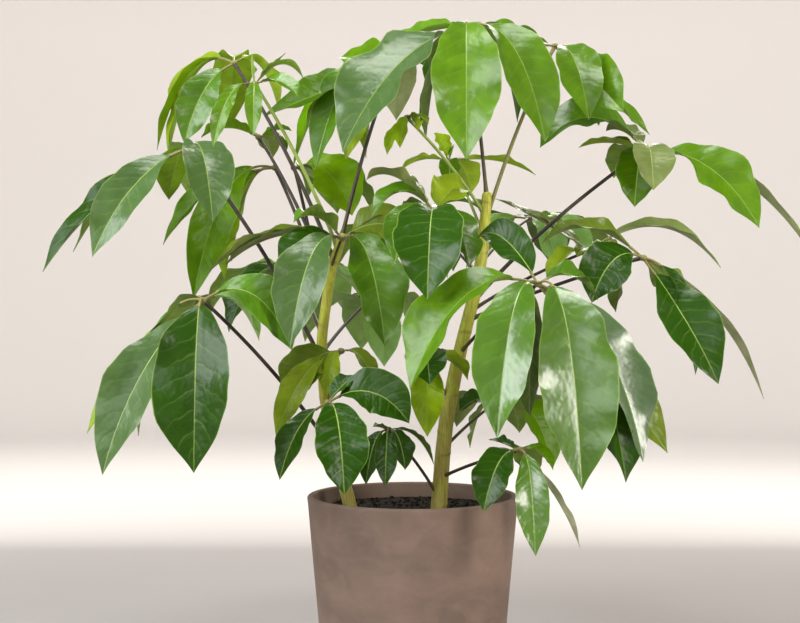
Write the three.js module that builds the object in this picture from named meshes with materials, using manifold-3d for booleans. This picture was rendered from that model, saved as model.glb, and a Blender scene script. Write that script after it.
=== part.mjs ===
// Potted umbrella plant: a schefflera with palmate leaves on two woody stems, in a round tapered
// pot filled with soil. Millimetres, +Z up, the origin at the centre of the pot's underside.
import * as THREE from "three";
import { mergeVertices } from "three/addons/utils/BufferGeometryUtils.js";
import Module from "manifold-3d";

const wasm = await Module();
wasm.setup();

// Pot and soil
const RIM_RADIUS = 150;
const BASE_RADIUS = 125;
const POT_HEIGHT = 280;
const WALL = 9;
const FLOOR = 11;
const LIP_ROUND = 3;
const FOOT_CHAMFER = 3;
const DRAIN_RADIUS = 8;
const DRAIN_CIRCLE = 62;
const DRAIN_COUNT = 4;
const DRAIN_SIDES = 12;
const SOIL_DEPTH_BELOW_RIM = 19;
const SOIL_SHOULDER = 8; // how far the soil sinks away from the wall, across
const SOIL_SHOULDER_DEPTH = 6;
const STEM_SUNK = 45;
const POT_SIDES = 48;

// Clearance between pieces that touch
const GAP = 0.3;

// Leaflets
const STALK_SHARE = 0.14; // the bare stalk's share of a leaflet's length
const STALK_RADIUS = 2.2;
const MIDRIB_HALF_THICKNESS = 1.2;
const FOLD = THREE.MathUtils.degToRad(23); // how far each half rises from the midrib
const WAVE = 0.11; // height of the margin's waves, as a share of the blade's half width
const WAVES = 2; // waves along the margin
const WAVE_OFFSET = 1.3; // radians between the waves of the left and the right margin
const WAVE_STEP = 1.7; // radians between the waves of one leaflet and the next
const CREST_REACH = 0.55; // how far out the arch's control point stands, as a share of the reach
const CREST_DROP = 0.1; // what a share of the drop adds to that
const TURN_AT_STALK = 0.3; // the share of a blade's turn to the front that it has at its stalk
const TURN_RATE = 2; // the rest comes within 1 / TURN_RATE of the blade
const ROUNDNESS = 0.7; // of the outline, rounder as it falls
const TIP_PULL = 0.7; // how much the tip is drawn out
const TIP_REACH = 8; // how close to the tip that happens, closer as it rises
const CUP = 1.15; // how the halves curve up from the midrib
const LONG_LEAFLET = 140; // longer ones get more stations along the blade
const LONG_STATIONS = [0.13, 0.33, 0.53, 0.73, 0.91];
const SHORT_STATIONS = [0.18, 0.45, 0.75];
const KNOB_RADIUS = 7; // where the leaflets of a frond meet

// Petioles
const PETIOLE_RADIUS = 1.8; // before what its length adds
const RADIUS_PER_LENGTH = 0.0038;
const SHEATH = 1.5; // how much wider a petiole is where it clasps the stem
const PETIOLE_BOW = [0.42, 0.42, 0.55]; // its control point, between the stem and the hub
const PETIOLE_STEPS = 4;
const PETIOLE_SIDES = 5;
const STEM_SIDES = 8;

// How leaflets hang clear of each other
const BLADE_BEADS = { along: 26, across: 11 };
const STEM_BEADS = 60;
const PETIOLE_BEADS = 40;
const BLADE_CLEARANCE = 14;
const STEM_CLEARANCE = 17;
const PETIOLE_CLEARANCE = 11;
const OWN_PETIOLE_CLEARANCE = 9;
const OWN_PETIOLE_FREE = 40; // a frond's own petiole counts from this far below its hub
const SWINGS = [0, 20, -20, 40, -40, 60, -60, 80, -80, 100, -100, 120, -120];
const LIFTS = [0, 20, -20, 40, -40];

// The stems' centre lines from the soil's surface up: x, y, z and the radius there
const STEMS = [
  [
    [-88, 20, 255, 10], [-108, 18, 330, 8.5], [-126, 10, 415, 8],
    [-130, 5, 500, 7.5], [-116, 0, 600, 7], [-100, -5, 645, 6.5],
  ],
  [
    [36, -10, 255, 11.5], [42, -8, 330, 11], [48, -5, 390, 10.5], [60, 0, 450, 10],
    [70, 0, 495, 9.5], [90, 0, 570, 9], [100, 5, 630, 8.5], [106, 8, 705, 7],
  ],
];

// The fronds, the foremost first. A petiole leaves its stem at height "from" and ends at the hub.
// A leaflet is [right, back, up] from the hub to its tip, then its width, how many degrees its
// upper face turns to the front, and the height above the hub that its arch aims for.
const FRONDS = [
  {
    stem: 2, from: 480, hub: [162, -160, 576], leaflets: [
      [-167, -40, -136, 104, 22, 38],
      [-61, -110, -191, 84, 10, 30],
      [43, -110, -255, 112, 10, 35],
      [130, -40, -228, 86, 35, -30],
      [173, 20, -223, 90, 60, -140],
      [118, 20, -262, 120, 60, -60],
      [-8, 50, -176, 62, 10, 15],
      [-75, 60, 63, 55, 50, 90],
      [84, 40, -21, 45, 30, 35],
    ],
  },
  {
    stem: 1, from: 330, hub: [-281, -120, 555], leaflets: [
      [-150, -20, -176, 52, 40, -85],
      [-119, -70, -225, 82, 42, -75],
      [-90, 20, -183, 60, 30, 20],
      [0, -80, -221, 114, 10, 25],
      [118, 10, -67, 70, 60, 50],
      [70, 50, -55, 55, 40, 25],
      [-40, 110, -110, 70, 0, 30],
    ],
  },
  {
    stem: 2, from: 630, hub: [30, -70, 676], leaflets: [
      [-13, -100, -121, 100, 0, 25],
      [-95, 20, 46, 62, 0, 76],
      [45, -60, -78, 60, 20, 20],
      [-86, -5, -8, 46, 25, 62],
      [-55, -70, -71, 60, 20, 20],
      [45, 60, 30, 60, 40, 50],
      [-20, 110, -20, 70, 0, 30],
    ],
  },
  {
    stem: 1, from: 598, hub: [-99, -40, 642], leaflets: [
      [61, -90, -149, 86, 10, 25],
      [-64, -80, -149, 80, 20, 25],
      [95, -50, 2, 62, 65, 38],
      [-188, 10, -48, 55, 10, 30],
      [-82, -30, -52, 55, 40, 20],
      [-165, 55, -38, 50, 10, 28],
      [-65, 90, 20, 55, 0, 50],
      [123, 30, 37, 45, 0, 45],
    ],
  },
  {
    stem: 2, from: 702, hub: [75, -20, 943], leaflets: [
      [-170, -90, -189, 116, 30, -40],
      [-5, -110, -202, 102, 0, 20],
      [104, -70, -174, 84, 40, 12],
      [-115, 80, -20, 60, 30, 6],
      [122, 60, -14, 50, 20, 6],
      [74, 20, -134, 62, 30, 12],
      [-56, 30, -158, 74, 30, 10],
      [10, 150, -60, 70, 0, 25],
    ],
  },
  {
    stem: 1, from: 466, hub: [-320, 20, 776], leaflets: [
      [-122, -80, -161, 68, 50, -38],
      [48, -110, -115, 78, 0, 25],
      [-206, -20, -180, 64, 32, -60],
      [-177, 40, -149, 55, 20, -30],
      [-40, 60, -71, 55, 0, 10],
      [-20, 130, -60, 70, 0, 25],
    ],
  },
  {
    stem: 2, from: 527, hub: [317, -60, 614], leaflets: [
      [85, -80, -170, 84, 38, -95],
      [-75, -30, -62, 76, 55, 25],
      [-137, 30, 20, 50, 20, 75],
      [68, -20, -160, 56, 30, -5],
      [169, 10, -195, 30, 0, -50],
      [-30, 30, -75, 50, 20, 10],
      [80, 120, -100, 56, 0, -20],
    ],
  },
  {
    stem: 1, from: 400, hub: [-114, -130, 419], leaflets: [
      [25, -70, -113, 76, 10, 15],
      [-61, -30, -99, 42, 40, -15],
      [108, -20, -26, 70, 60, 42],
      [38, 20, 35, 35, 20, 30],
    ],
  },
  {
    stem: 2, from: 305, hub: [141, -130, 356], leaflets: [
      [-51, -50, -75, 55, 30, 12],
      [15, -60, -130, 48, 20, 12],
      [43, -10, -25, 30, 20, 12],
      [80, 0, -130, 22, -20, -60],
      [-40, 20, 12, 25, 10, 12],
      [20, 70, -50, 45, 0, 12],
    ],
  },
  {
    stem: 1, from: 628, hub: [-220, -40, 857], young: true, leaflets: [
      [-53, -40, -94, 27, 50, 8],
      [3, -50, -80, 26, 0, 10],
      [62, -20, -22, 36, 30, 15],
      [66, 20, 11, 26, 0, 55],
      [42, 10, 45, 14, 0, 30],
      [-4, 0, 41, 20, 0, 30],
    ],
  },
  {
    stem: 1, from: 612, hub: [-260, 50, 902], leaflets: [
      [-66, -40, -123, 60, 60, -25],
      [-111, 50, -125, 72, 60, 52],
      [-132, 110, -114, 45, 40, 52],
      [-20, 140, -70, 65, 0, 58],
      [60, 60, -60, 50, 20, 40],
    ],
  },
  {
    stem: 2, from: 553, hub: [336, 20, 772], leaflets: [
      [154, -30, -114, 80, 60, 2],
      [244, 20, -150, 56, 20, -2],
      [-154, -10, 2, 80, 40, 90],
      [-26, -60, -86, 66, 20, 18],
      [-3, -70, -64, 66, 10, 20],
      [18, -10, -30, 30, 20, 10],
      [-92, 50, 9, 40, 10, 25],
      [-49, 60, 35, 50, 0, 45],
      [10, 130, -30, 60, 0, 15],
      [-30, 110, -30, 60, 0, 15],
    ],
  },
  {
    stem: 2, from: 540, hub: [249, -20, 626], leaflets: [
      [189, 0, -24, 42, 22, 81],
      [-92, 20, 70, 40, 0, 50],
      [-62, -20, -43, 35, 20, 10],
      [-22, -30, -10, 22, 20, 8],
      [45, 40, 4, 30, 0, 18],
      [-122, 60, 86, 30, 0, 60],
    ],
  },
  {
    stem: 2, from: 275, hub: [-34, -60, 377], leaflets: [
      [23, -30, -52, 36, 10, 6],
      [-30, -30, -72, 36, 20, 6],
      [-4, -40, -73, 34, 10, 6],
      [-21, -10, 5, 20, 0, 8],
      [63, 10, -49, 25, 0, 12],
    ],
  },
  {
    stem: 2, from: 410, hub: [16, -30, 475], young: true, leaflets: [
      [3, -20, -105, 50, 0, 12],
      [6, -65, -34, 60, 10, 16],
      [60, 20, -30, 45, 10, 12],
      [0, 100, -50, 60, 0, 20],
    ],
  },
  {
    stem: 2, from: 676, hub: [-8, -30, 811], young: true, leaflets: [
      [-28, -20, -54, 22, 20, -16],
      [-10, -30, -46, 22, 0, 6],
      [29, 10, -13, 20, 0, 8],
      [15, 45, -20, 20, 0, 8],
    ],
  },
  {
    stem: 1, from: 642, hub: [-24, 60, 911], leaflets: [
      [-71, -60, -156, 60, 60, 15],
      [-192, -10, -86, 70, 40, -55],
      [-116, -20, -163, 60, 50, 20],
      [-45, 40, -142, 60, 60, 15],
      [-154, 40, -157, 64, 30, 20],
      [-85, 50, 22, 62, 40, 16],
      [63, 60, -22, 55, 0, 20],
      [0, 150, -70, 70, 0, 25],
    ],
  },
  {
    stem: 2, from: 646, hub: [54, 80, 763], young: true, leaflets: [
      [-22, -5, 40, 34, 60, 40],
      [8, 5, 25, 10, 0, 20],
      [-71, -20, -16, 30, 10, 12],
      [0, -30, -45, 34, 0, 6],
      [131, 20, -19, 30, 0, 15],
      [36, 40, -44, 48, 0, 12],
    ],
  },
  {
    stem: 2, from: 662, hub: [209, 60, 929], leaflets: [
      [84, -40, -112, 78, 55, -60],
      [150, 20, -122, 60, 45, -80],
      [36, -60, -122, 68, 20, 0],
      [-60, 60, -40, 45, 0, 18],
      [80, 110, -102, 84, 0, 5],
    ],
  },
  {
    stem: 1, from: 582, hub: [-227, 80, 798], young: true, leaflets: [
      [-78, -10, -7, 50, 0, 26],
      [47, 20, 12, 30, 0, 20],
      [43, -20, -24, 28, 0, 10],
      [-61, 50, 20, 30, 0, 30],
      [10, 110, -20, 45, 0, 20],
    ],
  },
  {
    stem: 1, from: 550, hub: [-206, 110, 756], leaflets: [
      [-168, 0, -116, 48, 40, -5],
      [-109, -90, -198, 66, 60, 20],
      [-77, 10, -168, 60, 50, 10],
      [-72, 60, -139, 55, 20, 20],
    ],
  },
  {
    stem: 1, from: 534, hub: [-181, 160, 761], leaflets: [
      [90, -20, -75, 85, 60, 25],
      [20, -10, -46, 40, 10, 6],
      [120, 70, -60, 70, 0, 25],
      [60, 150, -60, 80, 0, 25],
    ],
  },
  {
    stem: 1, from: 430, hub: [-100, -40, 485], young: true, leaflets: [
      [-73, -20, -66, 66, 60, 2],
      [-86, -50, -117, 42, 50, -10],
      [-18, -50, -60, 34, 20, 8],
      [45, -20, -45, 34, 20, 10],
    ],
  },
  {
    stem: 1, from: 480, hub: [-62, 200, 561], leaflets: [
      [-20, 130, -85, 80, 0, 20],
      [-110, 70, -70, 70, 0, 20],
      [90, 80, -85, 80, 0, 20],
      [20, -60, -105, 62, 10, 15],
    ],
  },
  {
    stem: 2, from: 345, hub: [131, 100, 408], leaflets: [
      [78, -10, -101, 76, 40, 15],
      [-44, -30, -73, 40, 10, 10],
      [-62, -40, -15, 40, 20, 12],
      [40, 120, -60, 70, 0, 20],
      [-60, 110, -50, 65, 0, 20],
      [120, 60, -60, 60, 0, 20],
    ],
  },
  {
    stem: 2, from: 608, hub: [190, 270, 690], leaflets: [
      [150, 60, -90, 80, 10, 25],
      [60, 150, -80, 80, 0, 25],
      [-70, 140, -70, 80, 0, 25],
      [-100, 20, -80, 80, 10, 20],
      [90, -60, -80, 65, 10, 25],
      [35, -95, -90, 60, 0, 20],
    ],
  },
  {
    stem: 1, from: 505, hub: [-195, 290, 612], leaflets: [
      [-150, 60, -90, 80, 10, 25],
      [-50, 150, -80, 80, 0, 25],
      [80, 130, -70, 80, 0, 25],
      [120, 10, -60, 65, 10, 25],
      [-95, -60, -105, 72, 10, 20],
    ],
  },
  {
    stem: 2, from: 592, hub: [15, 300, 690], leaflets: [
      [-150, 40, -90, 80, 10, 25],
      [-60, 140, -80, 80, 0, 25],
      [60, 140, -80, 80, 0, 25],
      [45, -75, -95, 60, 10, 25],
      [-80, -70, -80, 60, 10, 25],
      [110, 20, 5, 55, 10, 60],
    ],
  },
];

// ---- Solids ----

// The closed solid of a geometry whose seams are merged
function solidOf(geometry) {
  geometry.deleteAttribute("normal");
  geometry.deleteAttribute("uv");
  const merged = mergeVertices(geometry);
  return new wasm.Manifold(
    new wasm.Mesh({
      numProp: 3,
      vertProperties: merged.attributes.position.array,
      triVerts: new Uint32Array(merged.index.array),
    }),
  );
}

function meshOf(name, solid, finish) {
  const { vertProperties, triVerts } = solid.getMesh();
  const geometry = new THREE.BufferGeometry();
  geometry.setAttribute("position", new THREE.BufferAttribute(vertProperties, 3));
  geometry.setIndex(new THREE.BufferAttribute(triVerts, 1));
  geometry.computeVertexNormals();
  const mesh = new THREE.Mesh(geometry, new THREE.MeshStandardMaterial(finish));
  mesh.name = name;
  return mesh;
}

// A skin over rings of points, closed by a fan over each end. An even corner joins the next
// ring's odd neighbours, so the two faces of a blade are split alike.
function skinOver(rings, tip) {
  const sides = rings[0].length;
  const corners = [];
  const quad = (a, b, c, d) => corners.push(a, b, c, a, c, d);
  for (let i = 0; i + 1 < rings.length; i++) {
    for (let j = 0; j < sides; j++) {
      const k = (j + 1) % sides;
      const [a, b, c, d] = [rings[i][j], rings[i][k], rings[i + 1][k], rings[i + 1][j]];
      if (j % 2 === 0) quad(a, b, c, d);
      else quad(b, c, d, a);
    }
  }
  const last = rings[rings.length - 1];
  for (let j = 1; j + 1 < sides; j++) corners.push(rings[0][0], rings[0][j + 1], rings[0][j]);
  if (tip) {
    for (let j = 0; j < sides; j++) corners.push(last[j], last[(j + 1) % sides], tip);
  } else {
    for (let j = 1; j + 1 < sides; j++) corners.push(last[0], last[j], last[j + 1]);
  }
  return solidOf(new THREE.BufferGeometry().setFromPoints(corners));
}

// A ring of points round a centre, counter-clockwise seen from where "along" points
function ringAround(centre, along, radius, sides) {
  const first = new THREE.Vector3(1, 0, 0);
  if (Math.abs(along.x) > 0.9) first.set(0, 0, 1);
  const u = first.clone().cross(along).normalize();
  const v = along.clone().cross(u).normalize();
  return Array.from({ length: sides }, (_, j) => {
    const a = (2 * Math.PI * j) / sides;
    return centre
      .clone()
      .addScaledVector(u, radius * Math.cos(a))
      .addScaledVector(v, radius * Math.sin(a));
  });
}

// ---- Pot and soil ----

// The inner wall's radius at a height, parallel to the tapered outside
const innerRadius = (z) => BASE_RADIUS + ((RIM_RADIUS - BASE_RADIUS) * z) / POT_HEIGHT - WALL;

function pot() {
  const profile = [
    [0, 0],
    [BASE_RADIUS - FOOT_CHAMFER, 0],
    [BASE_RADIUS, FOOT_CHAMFER],
    [RIM_RADIUS, POT_HEIGHT - LIP_ROUND],
    [RIM_RADIUS - LIP_ROUND, POT_HEIGHT],
    [RIM_RADIUS - WALL + LIP_ROUND, POT_HEIGHT],
    [innerRadius(POT_HEIGHT - LIP_ROUND), POT_HEIGHT - LIP_ROUND],
    [innerRadius(FLOOR), FLOOR],
    [0, FLOOR],
  ].map(([r, z]) => new THREE.Vector2(r, z));
  let shell = solidOf(new THREE.LatheGeometry(profile, POT_SIDES).rotateX(Math.PI / 2));
  for (let i = 0; i < DRAIN_COUNT; i++) {
    const angle = (2 * Math.PI * (i + 0.5)) / DRAIN_COUNT;
    const hole = new THREE.CylinderGeometry(DRAIN_RADIUS, DRAIN_RADIUS, 3 * FLOOR, DRAIN_SIDES);
    hole.rotateX(Math.PI / 2);
    hole.translate(DRAIN_CIRCLE * Math.cos(angle), DRAIN_CIRCLE * Math.sin(angle), 0);
    shell = shell.subtract(solidOf(hole));
  }
  return shell;
}

function soil(stems) {
  const top = POT_HEIGHT - SOIL_DEPTH_BELOW_RIM;
  const bottom = FLOOR + GAP;
  const profile = [
    [0, bottom],
    [innerRadius(bottom) - GAP, bottom],
    [innerRadius(top - SOIL_SHOULDER_DEPTH) - GAP, top - SOIL_SHOULDER_DEPTH],
    [innerRadius(top) - SOIL_SHOULDER, top],
    [0, top],
  ].map(([r, z]) => new THREE.Vector2(r, z));
  let fill = solidOf(new THREE.LatheGeometry(profile, POT_SIDES).rotateX(Math.PI / 2));
  for (const stem of stems) fill = fill.subtract(stem);
  return fill;
}

// ---- Stems and petioles ----

// A stem's solid from below the soil's surface to its tip, made wider by "extra"
function stemSolid(line, extra) {
  const up = new THREE.Vector3(0, 0, 1);
  const rings = line.map(([x, y, z, radius]) =>
    ringAround(new THREE.Vector3(x, y, z), up, radius + extra, STEM_SIDES),
  );
  const [x, y, z, radius] = line[0];
  const foot = new THREE.Vector3(x, y, z - STEM_SUNK - extra);
  rings.unshift(ringAround(foot, up, radius + extra, STEM_SIDES));
  const [tx, ty, tz, topRadius] = line[line.length - 1];
  return skinOver(rings, new THREE.Vector3(tx, ty, tz + topRadius + extra));
}

// The point on a stem's centre line at a height
function stemAt(line, z) {
  const k = Math.min(Math.max(line.findIndex((p) => p[2] >= z), 1), line.length - 1);
  const [low, high] = [line[k - 1], line[k]];
  const share = (z - low[2]) / (high[2] - low[2]);
  return new THREE.Vector3(
    low[0] + share * (high[0] - low[0]),
    low[1] + share * (high[1] - low[1]),
    z,
  );
}

function petioleCurve(frond) {
  const start = stemAt(STEMS[frond.stem - 1], frond.from);
  const hub = new THREE.Vector3(...frond.hub);
  const bow = start.clone().add(
    hub.clone().sub(start).multiply(new THREE.Vector3(...PETIOLE_BOW)),
  );
  return new THREE.QuadraticBezierCurve3(start, bow, hub);
}

function petioleSolid(curve) {
  const length = curve.getLength();
  const radius = PETIOLE_RADIUS + RADIUS_PER_LENGTH * length;
  const rings = [];
  for (let i = 0; i <= PETIOLE_STEPS; i++) {
    const t = i / PETIOLE_STEPS;
    const wide = i === 0 ? SHEATH : 1;
    rings.push(ringAround(curve.getPoint(t), curve.getTangent(t), radius * wide, PETIOLE_SIDES));
  }
  return skinOver(rings);
}

// ---- Leaflets ----

// A leaflet as its midrib's curve and the directions that its blade is built from. Its tip may
// swing back or forward and up or down by whole steps, to hang clear of its neighbours.
function leafletShape(hub, row, index, swing, lift) {
  const [right, back, up, width, face, arch] = row;
  const start = new THREE.Vector3(...hub);
  const toTip = new THREE.Vector3(right, back + swing, up + lift);
  const reach = Math.hypot(toTip.x, toTip.y);
  const out = new THREE.Vector3(toTip.x / reach, toTip.y / reach, 0);
  const crest = start
    .clone()
    .addScaledVector(out, CREST_REACH * reach + CREST_DROP * Math.abs(toTip.z));
  crest.z += arch;
  return {
    curve: new THREE.QuadraticBezierCurve3(start, crest, start.clone().add(toTip)),
    left: new THREE.Vector3(-out.y, out.x, 0),
    roll: THREE.MathUtils.degToRad(face) * (right >= 0 ? 1 : -1),
    width,
    phase: WAVE_STEP * index,
  };
}

// The midrib's point at a share of the leaflet's length, with the blade's left and its upward normal
function midribAt(leaflet, share, turned) {
  const { curve, left, roll } = leaflet;
  const t = curve.getUtoTmapping(share);
  const along = curve.v1.clone().sub(curve.v0).multiplyScalar(1 - t);
  along.addScaledVector(curve.v2.clone().sub(curve.v1), t).normalize();
  const up = along.clone().cross(left).normalize();
  const cos = Math.cos(roll * turned);
  const sin = Math.sin(roll * turned);
  return {
    point: curve.getPoint(t),
    side: left.clone().multiplyScalar(cos).addScaledVector(up, sin),
    normal: up.clone().multiplyScalar(cos).addScaledVector(left, -sin),
  };
}

// The blade's outline: round at the stalk, widest at the middle, with a drawn-out tip
const halfWidth = (width, s) =>
  0.5 * width * Math.sin(Math.PI * s) ** ROUNDNESS * (1 - TIP_PULL * s ** TIP_REACH);

// A point on the blade: s from stalk to tip, v from the right margin (-1) to the left one (1)
function bladePoint(leaflet, frame, s, v) {
  const half = halfWidth(leaflet.width, s);
  const swell = 2 * Math.PI * WAVES * s + leaflet.phase + (v > 0 ? WAVE_OFFSET : 0);
  const cup = half * Math.abs(v) ** CUP * Math.sin(FOLD);
  const rise = cup + WAVE * half * Math.sin(swell) * v * v;
  return frame.point
    .clone()
    .addScaledVector(frame.side, half * v * Math.cos(FOLD))
    .addScaledVector(frame.normal, rise);
}

function bladeFrame(leaflet, s) {
  const turned = Math.min(1, TURN_AT_STALK + TURN_RATE * s);
  return midribAt(leaflet, STALK_SHARE + (1 - STALK_SHARE) * s, turned);
}

// The bare stalk's room, which the frond's own petiole stays out of
function stalkRoom(leaflet) {
  const rings = [0, STALK_SHARE].map((share) => {
    const { point, side, normal } = midribAt(leaflet, share, 0);
    return ringAround(point, side.clone().cross(normal), STALK_RADIUS + 2 * GAP, PETIOLE_SIDES);
  });
  return skinOver(rings);
}

function leafletSolid(leaflet) {
  const ring = (frame, margins, half) => [
    margins[1],
    frame.point.clone().addScaledVector(frame.normal, half),
    margins[0],
    frame.point.clone().addScaledVector(frame.normal, -half),
  ];
  const rings = [0, STALK_SHARE].map((share) => {
    const frame = midribAt(leaflet, share, share > 0 ? TURN_AT_STALK : 0);
    const margins = [-1, 1].map((v) =>
      frame.point.clone().addScaledVector(frame.side, v * STALK_RADIUS),
    );
    return ring(frame, margins, STALK_RADIUS);
  });
  const isLong = leaflet.curve.getLength() > LONG_LEAFLET;
  for (const s of isLong ? LONG_STATIONS : SHORT_STATIONS) {
    const frame = bladeFrame(leaflet, s);
    const margins = [-1, 1].map((v) => bladePoint(leaflet, frame, s, v));
    rings.push(ring(frame, margins, MIDRIB_HALF_THICKNESS));
  }
  return skinOver(rings, leaflet.curve.v2);
}

// ---- Hanging clear ----

// Points on a blade, close enough together that no other blade slips between them
function bladeBeads(leaflet) {
  const beads = [];
  for (let i = 0; i < BLADE_BEADS.along; i++) {
    const s = i / (BLADE_BEADS.along - 1);
    const frame = bladeFrame(leaflet, s);
    for (let j = 0; j < BLADE_BEADS.across; j++) {
      beads.push(bladePoint(leaflet, frame, s, (2 * j) / (BLADE_BEADS.across - 1) - 1));
    }
  }
  return beads;
}

// What already hangs: beads with their box, the frond they belong to and the room they need
const hung = [];

function hang(owner, beads, clearance, onlyOwner = false) {
  hung.push({ owner, beads, clearance, onlyOwner, box: new THREE.Box3().setFromPoints(beads) });
}

function hangsFree(owner, beads) {
  const reach = new THREE.Box3().setFromPoints(beads).expandByScalar(BLADE_CLEARANCE);
  return hung.every((other) => {
    if ((other.owner === owner) !== other.onlyOwner || !reach.intersectsBox(other.box)) return true;
    const near = other.beads.filter((p) => reach.containsPoint(p));
    const least = other.clearance ** 2;
    return near.every((p) => beads.every((q) => p.distanceToSquared(q) >= least));
  });
}

// The first swing and lift with which a leaflet hangs free
function settle(owner, hub, row, index) {
  for (const lift of LIFTS) {
    for (const swing of SWINGS) {
      const leaflet = leafletShape(hub, row, index, swing, lift);
      const beads = bladeBeads(leaflet);
      if (hangsFree(owner, beads)) {
        hang(owner, beads, BLADE_CLEARANCE);
        return leaflet;
      }
    }
  }
  throw new Error("a leaflet of frond " + owner + " finds no room");
}

// ---- The plant ----

const BARK = { color: 0x7d7230, roughness: 0.75, metalness: 0 };
const PETIOLE = { color: 0x33231a, roughness: 0.5, metalness: 0 };
const LEAF = { color: 0x3f6a1e, roughness: 0.35, metalness: 0 };
const YOUNG_LEAF = { color: 0x7fa023, roughness: 0.4, metalness: 0 };
const CLAY = { color: 0x7d695d, roughness: 0.85, metalness: 0 };
const SOIL = { color: 0x17120f, roughness: 0.95, metalness: 0 };

const group = new THREE.Group();

const clearedStems = STEMS.map((line) => stemSolid(line, GAP));
group.add(meshOf("pot", pot(), CLAY));
group.add(meshOf("soil", soil(clearedStems), SOIL));
STEMS.forEach((line, i) => {
  group.add(meshOf("stem_" + (i + 1), stemSolid(line, 0), BARK));
  const [low, high] = [line[0][2], line[line.length - 1][2]];
  const step = (high - low) / (STEM_BEADS - 1);
  const beads = Array.from({ length: STEM_BEADS }, (_, k) => stemAt(line, low + step * k));
  hang("stem", beads, STEM_CLEARANCE);
});

FRONDS.forEach((frond, i) => {
  const beads = petioleCurve(frond).getPoints(PETIOLE_BEADS - 1);
  const hub = new THREE.Vector3(...frond.hub);
  hang(i, beads, PETIOLE_CLEARANCE);
  hang(i, beads.filter((p) => p.distanceTo(hub) > OWN_PETIOLE_FREE), OWN_PETIOLE_CLEARANCE, true);
});

FRONDS.forEach((frond, i) => {
  const number = String(i + 1).padStart(2, "0");
  const knobAt = (radius) =>
    solidOf(new THREE.IcosahedronGeometry(radius, 0).translate(...frond.hub));
  let leaf = knobAt(KNOB_RADIUS);
  let petiole = petioleSolid(petioleCurve(frond))
    .subtract(clearedStems[frond.stem - 1])
    .subtract(knobAt(KNOB_RADIUS + GAP));
  frond.leaflets.forEach((row, k) => {
    const leaflet = settle(i, frond.hub, row, k);
    leaf = leaf.add(leafletSolid(leaflet));
    petiole = petiole.subtract(stalkRoom(leaflet));
  });
  group.add(meshOf("petiole_" + number, petiole, PETIOLE));
  group.add(meshOf("leaf_" + number, leaf, frond.young ? YOUNG_LEAF : LEAF));
});

export default group;
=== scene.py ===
"""A potted umbrella plant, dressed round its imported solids: a tapered clay pot, dark soil, two
woody stems and 28 palmate leaves of arching leaflets. Metres, in the part's own frame."""

import math

import bmesh
import bpy
import numpy as np
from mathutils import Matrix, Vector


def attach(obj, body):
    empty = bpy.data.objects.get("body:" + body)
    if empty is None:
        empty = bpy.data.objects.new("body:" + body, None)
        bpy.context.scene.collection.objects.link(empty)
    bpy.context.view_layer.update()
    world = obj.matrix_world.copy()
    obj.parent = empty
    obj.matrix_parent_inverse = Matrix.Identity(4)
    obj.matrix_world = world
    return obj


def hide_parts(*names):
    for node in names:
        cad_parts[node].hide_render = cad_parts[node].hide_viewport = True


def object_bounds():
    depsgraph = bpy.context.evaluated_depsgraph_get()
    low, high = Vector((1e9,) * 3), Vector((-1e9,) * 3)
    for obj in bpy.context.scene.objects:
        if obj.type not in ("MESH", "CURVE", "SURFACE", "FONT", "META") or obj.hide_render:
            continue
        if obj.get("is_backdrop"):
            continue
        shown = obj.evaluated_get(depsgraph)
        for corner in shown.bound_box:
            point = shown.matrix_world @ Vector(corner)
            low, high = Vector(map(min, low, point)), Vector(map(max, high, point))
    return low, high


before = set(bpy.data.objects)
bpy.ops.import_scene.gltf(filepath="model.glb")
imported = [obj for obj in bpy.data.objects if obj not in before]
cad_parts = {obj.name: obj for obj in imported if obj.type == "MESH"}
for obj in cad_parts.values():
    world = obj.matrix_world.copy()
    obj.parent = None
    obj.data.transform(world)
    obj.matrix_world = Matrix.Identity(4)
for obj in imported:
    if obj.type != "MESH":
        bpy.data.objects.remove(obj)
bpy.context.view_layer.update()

# ---- Studio ----
# A round pale cove of painted board, whose floor turns up into a wall, and a camera level with
# the crown. Soft boxes like windows at the left, right and front lay the sheen on the leaves,
# one behind glows through the blades, and a wide one lights the cove.

MM = 0.001
CAMERA_X, CAMERA_Y, CAMERA_Z = -18, -1949, 540  # mm from the middle of the pot's foot
FOCAL_LENGTH, PICTURE_WIDTH = 1371, 800  # pixels
SENSOR_WIDTH = 36  # mm

camera = bpy.data.objects.new("camera", bpy.data.cameras.new("camera"))
camera.data.sensor_width = SENSOR_WIDTH
camera.data.lens = SENSOR_WIDTH * FOCAL_LENGTH / PICTURE_WIDTH
camera.location = (CAMERA_X * MM, CAMERA_Y * MM, CAMERA_Z * MM)
camera.rotation_euler = (math.pi / 2, 0, 0)
bpy.context.collection.objects.link(camera)
bpy.context.scene.camera = camera
bpy.context.scene.view_settings.view_transform = "Standard"


def linear(colour):
    """An sRGB hex colour as linear red, green and blue with full alpha."""
    parts = [int(colour[i : i + 2], 16) / 255 for i in (1, 3, 5)]
    return [c / 12.92 if c <= 0.04045 else ((c + 0.055) / 1.055) ** 2.4 for c in parts] + [1.0]


def node(tree, kind, inputs=None, output=0, **settings):
    """Adds a node with its settings, sets or links its inputs, where a hex colour is turned
    linear, and returns one of its outputs."""
    made = tree.nodes.new("ShaderNode" + kind)
    for name, value in settings.items():
        setattr(made, name, value)
    for name, value in (inputs or {}).items():
        if isinstance(value, bpy.types.NodeSocket):
            tree.links.new(value, made.inputs[name])
        else:
            made.inputs[name].default_value = linear(value) if isinstance(value, str) else value
    return made.outputs[output] if len(made.outputs) else made


COLOURS = {"output": 2, "data_type": "RGBA"}  # what makes a Mix node blend two colours


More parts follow.
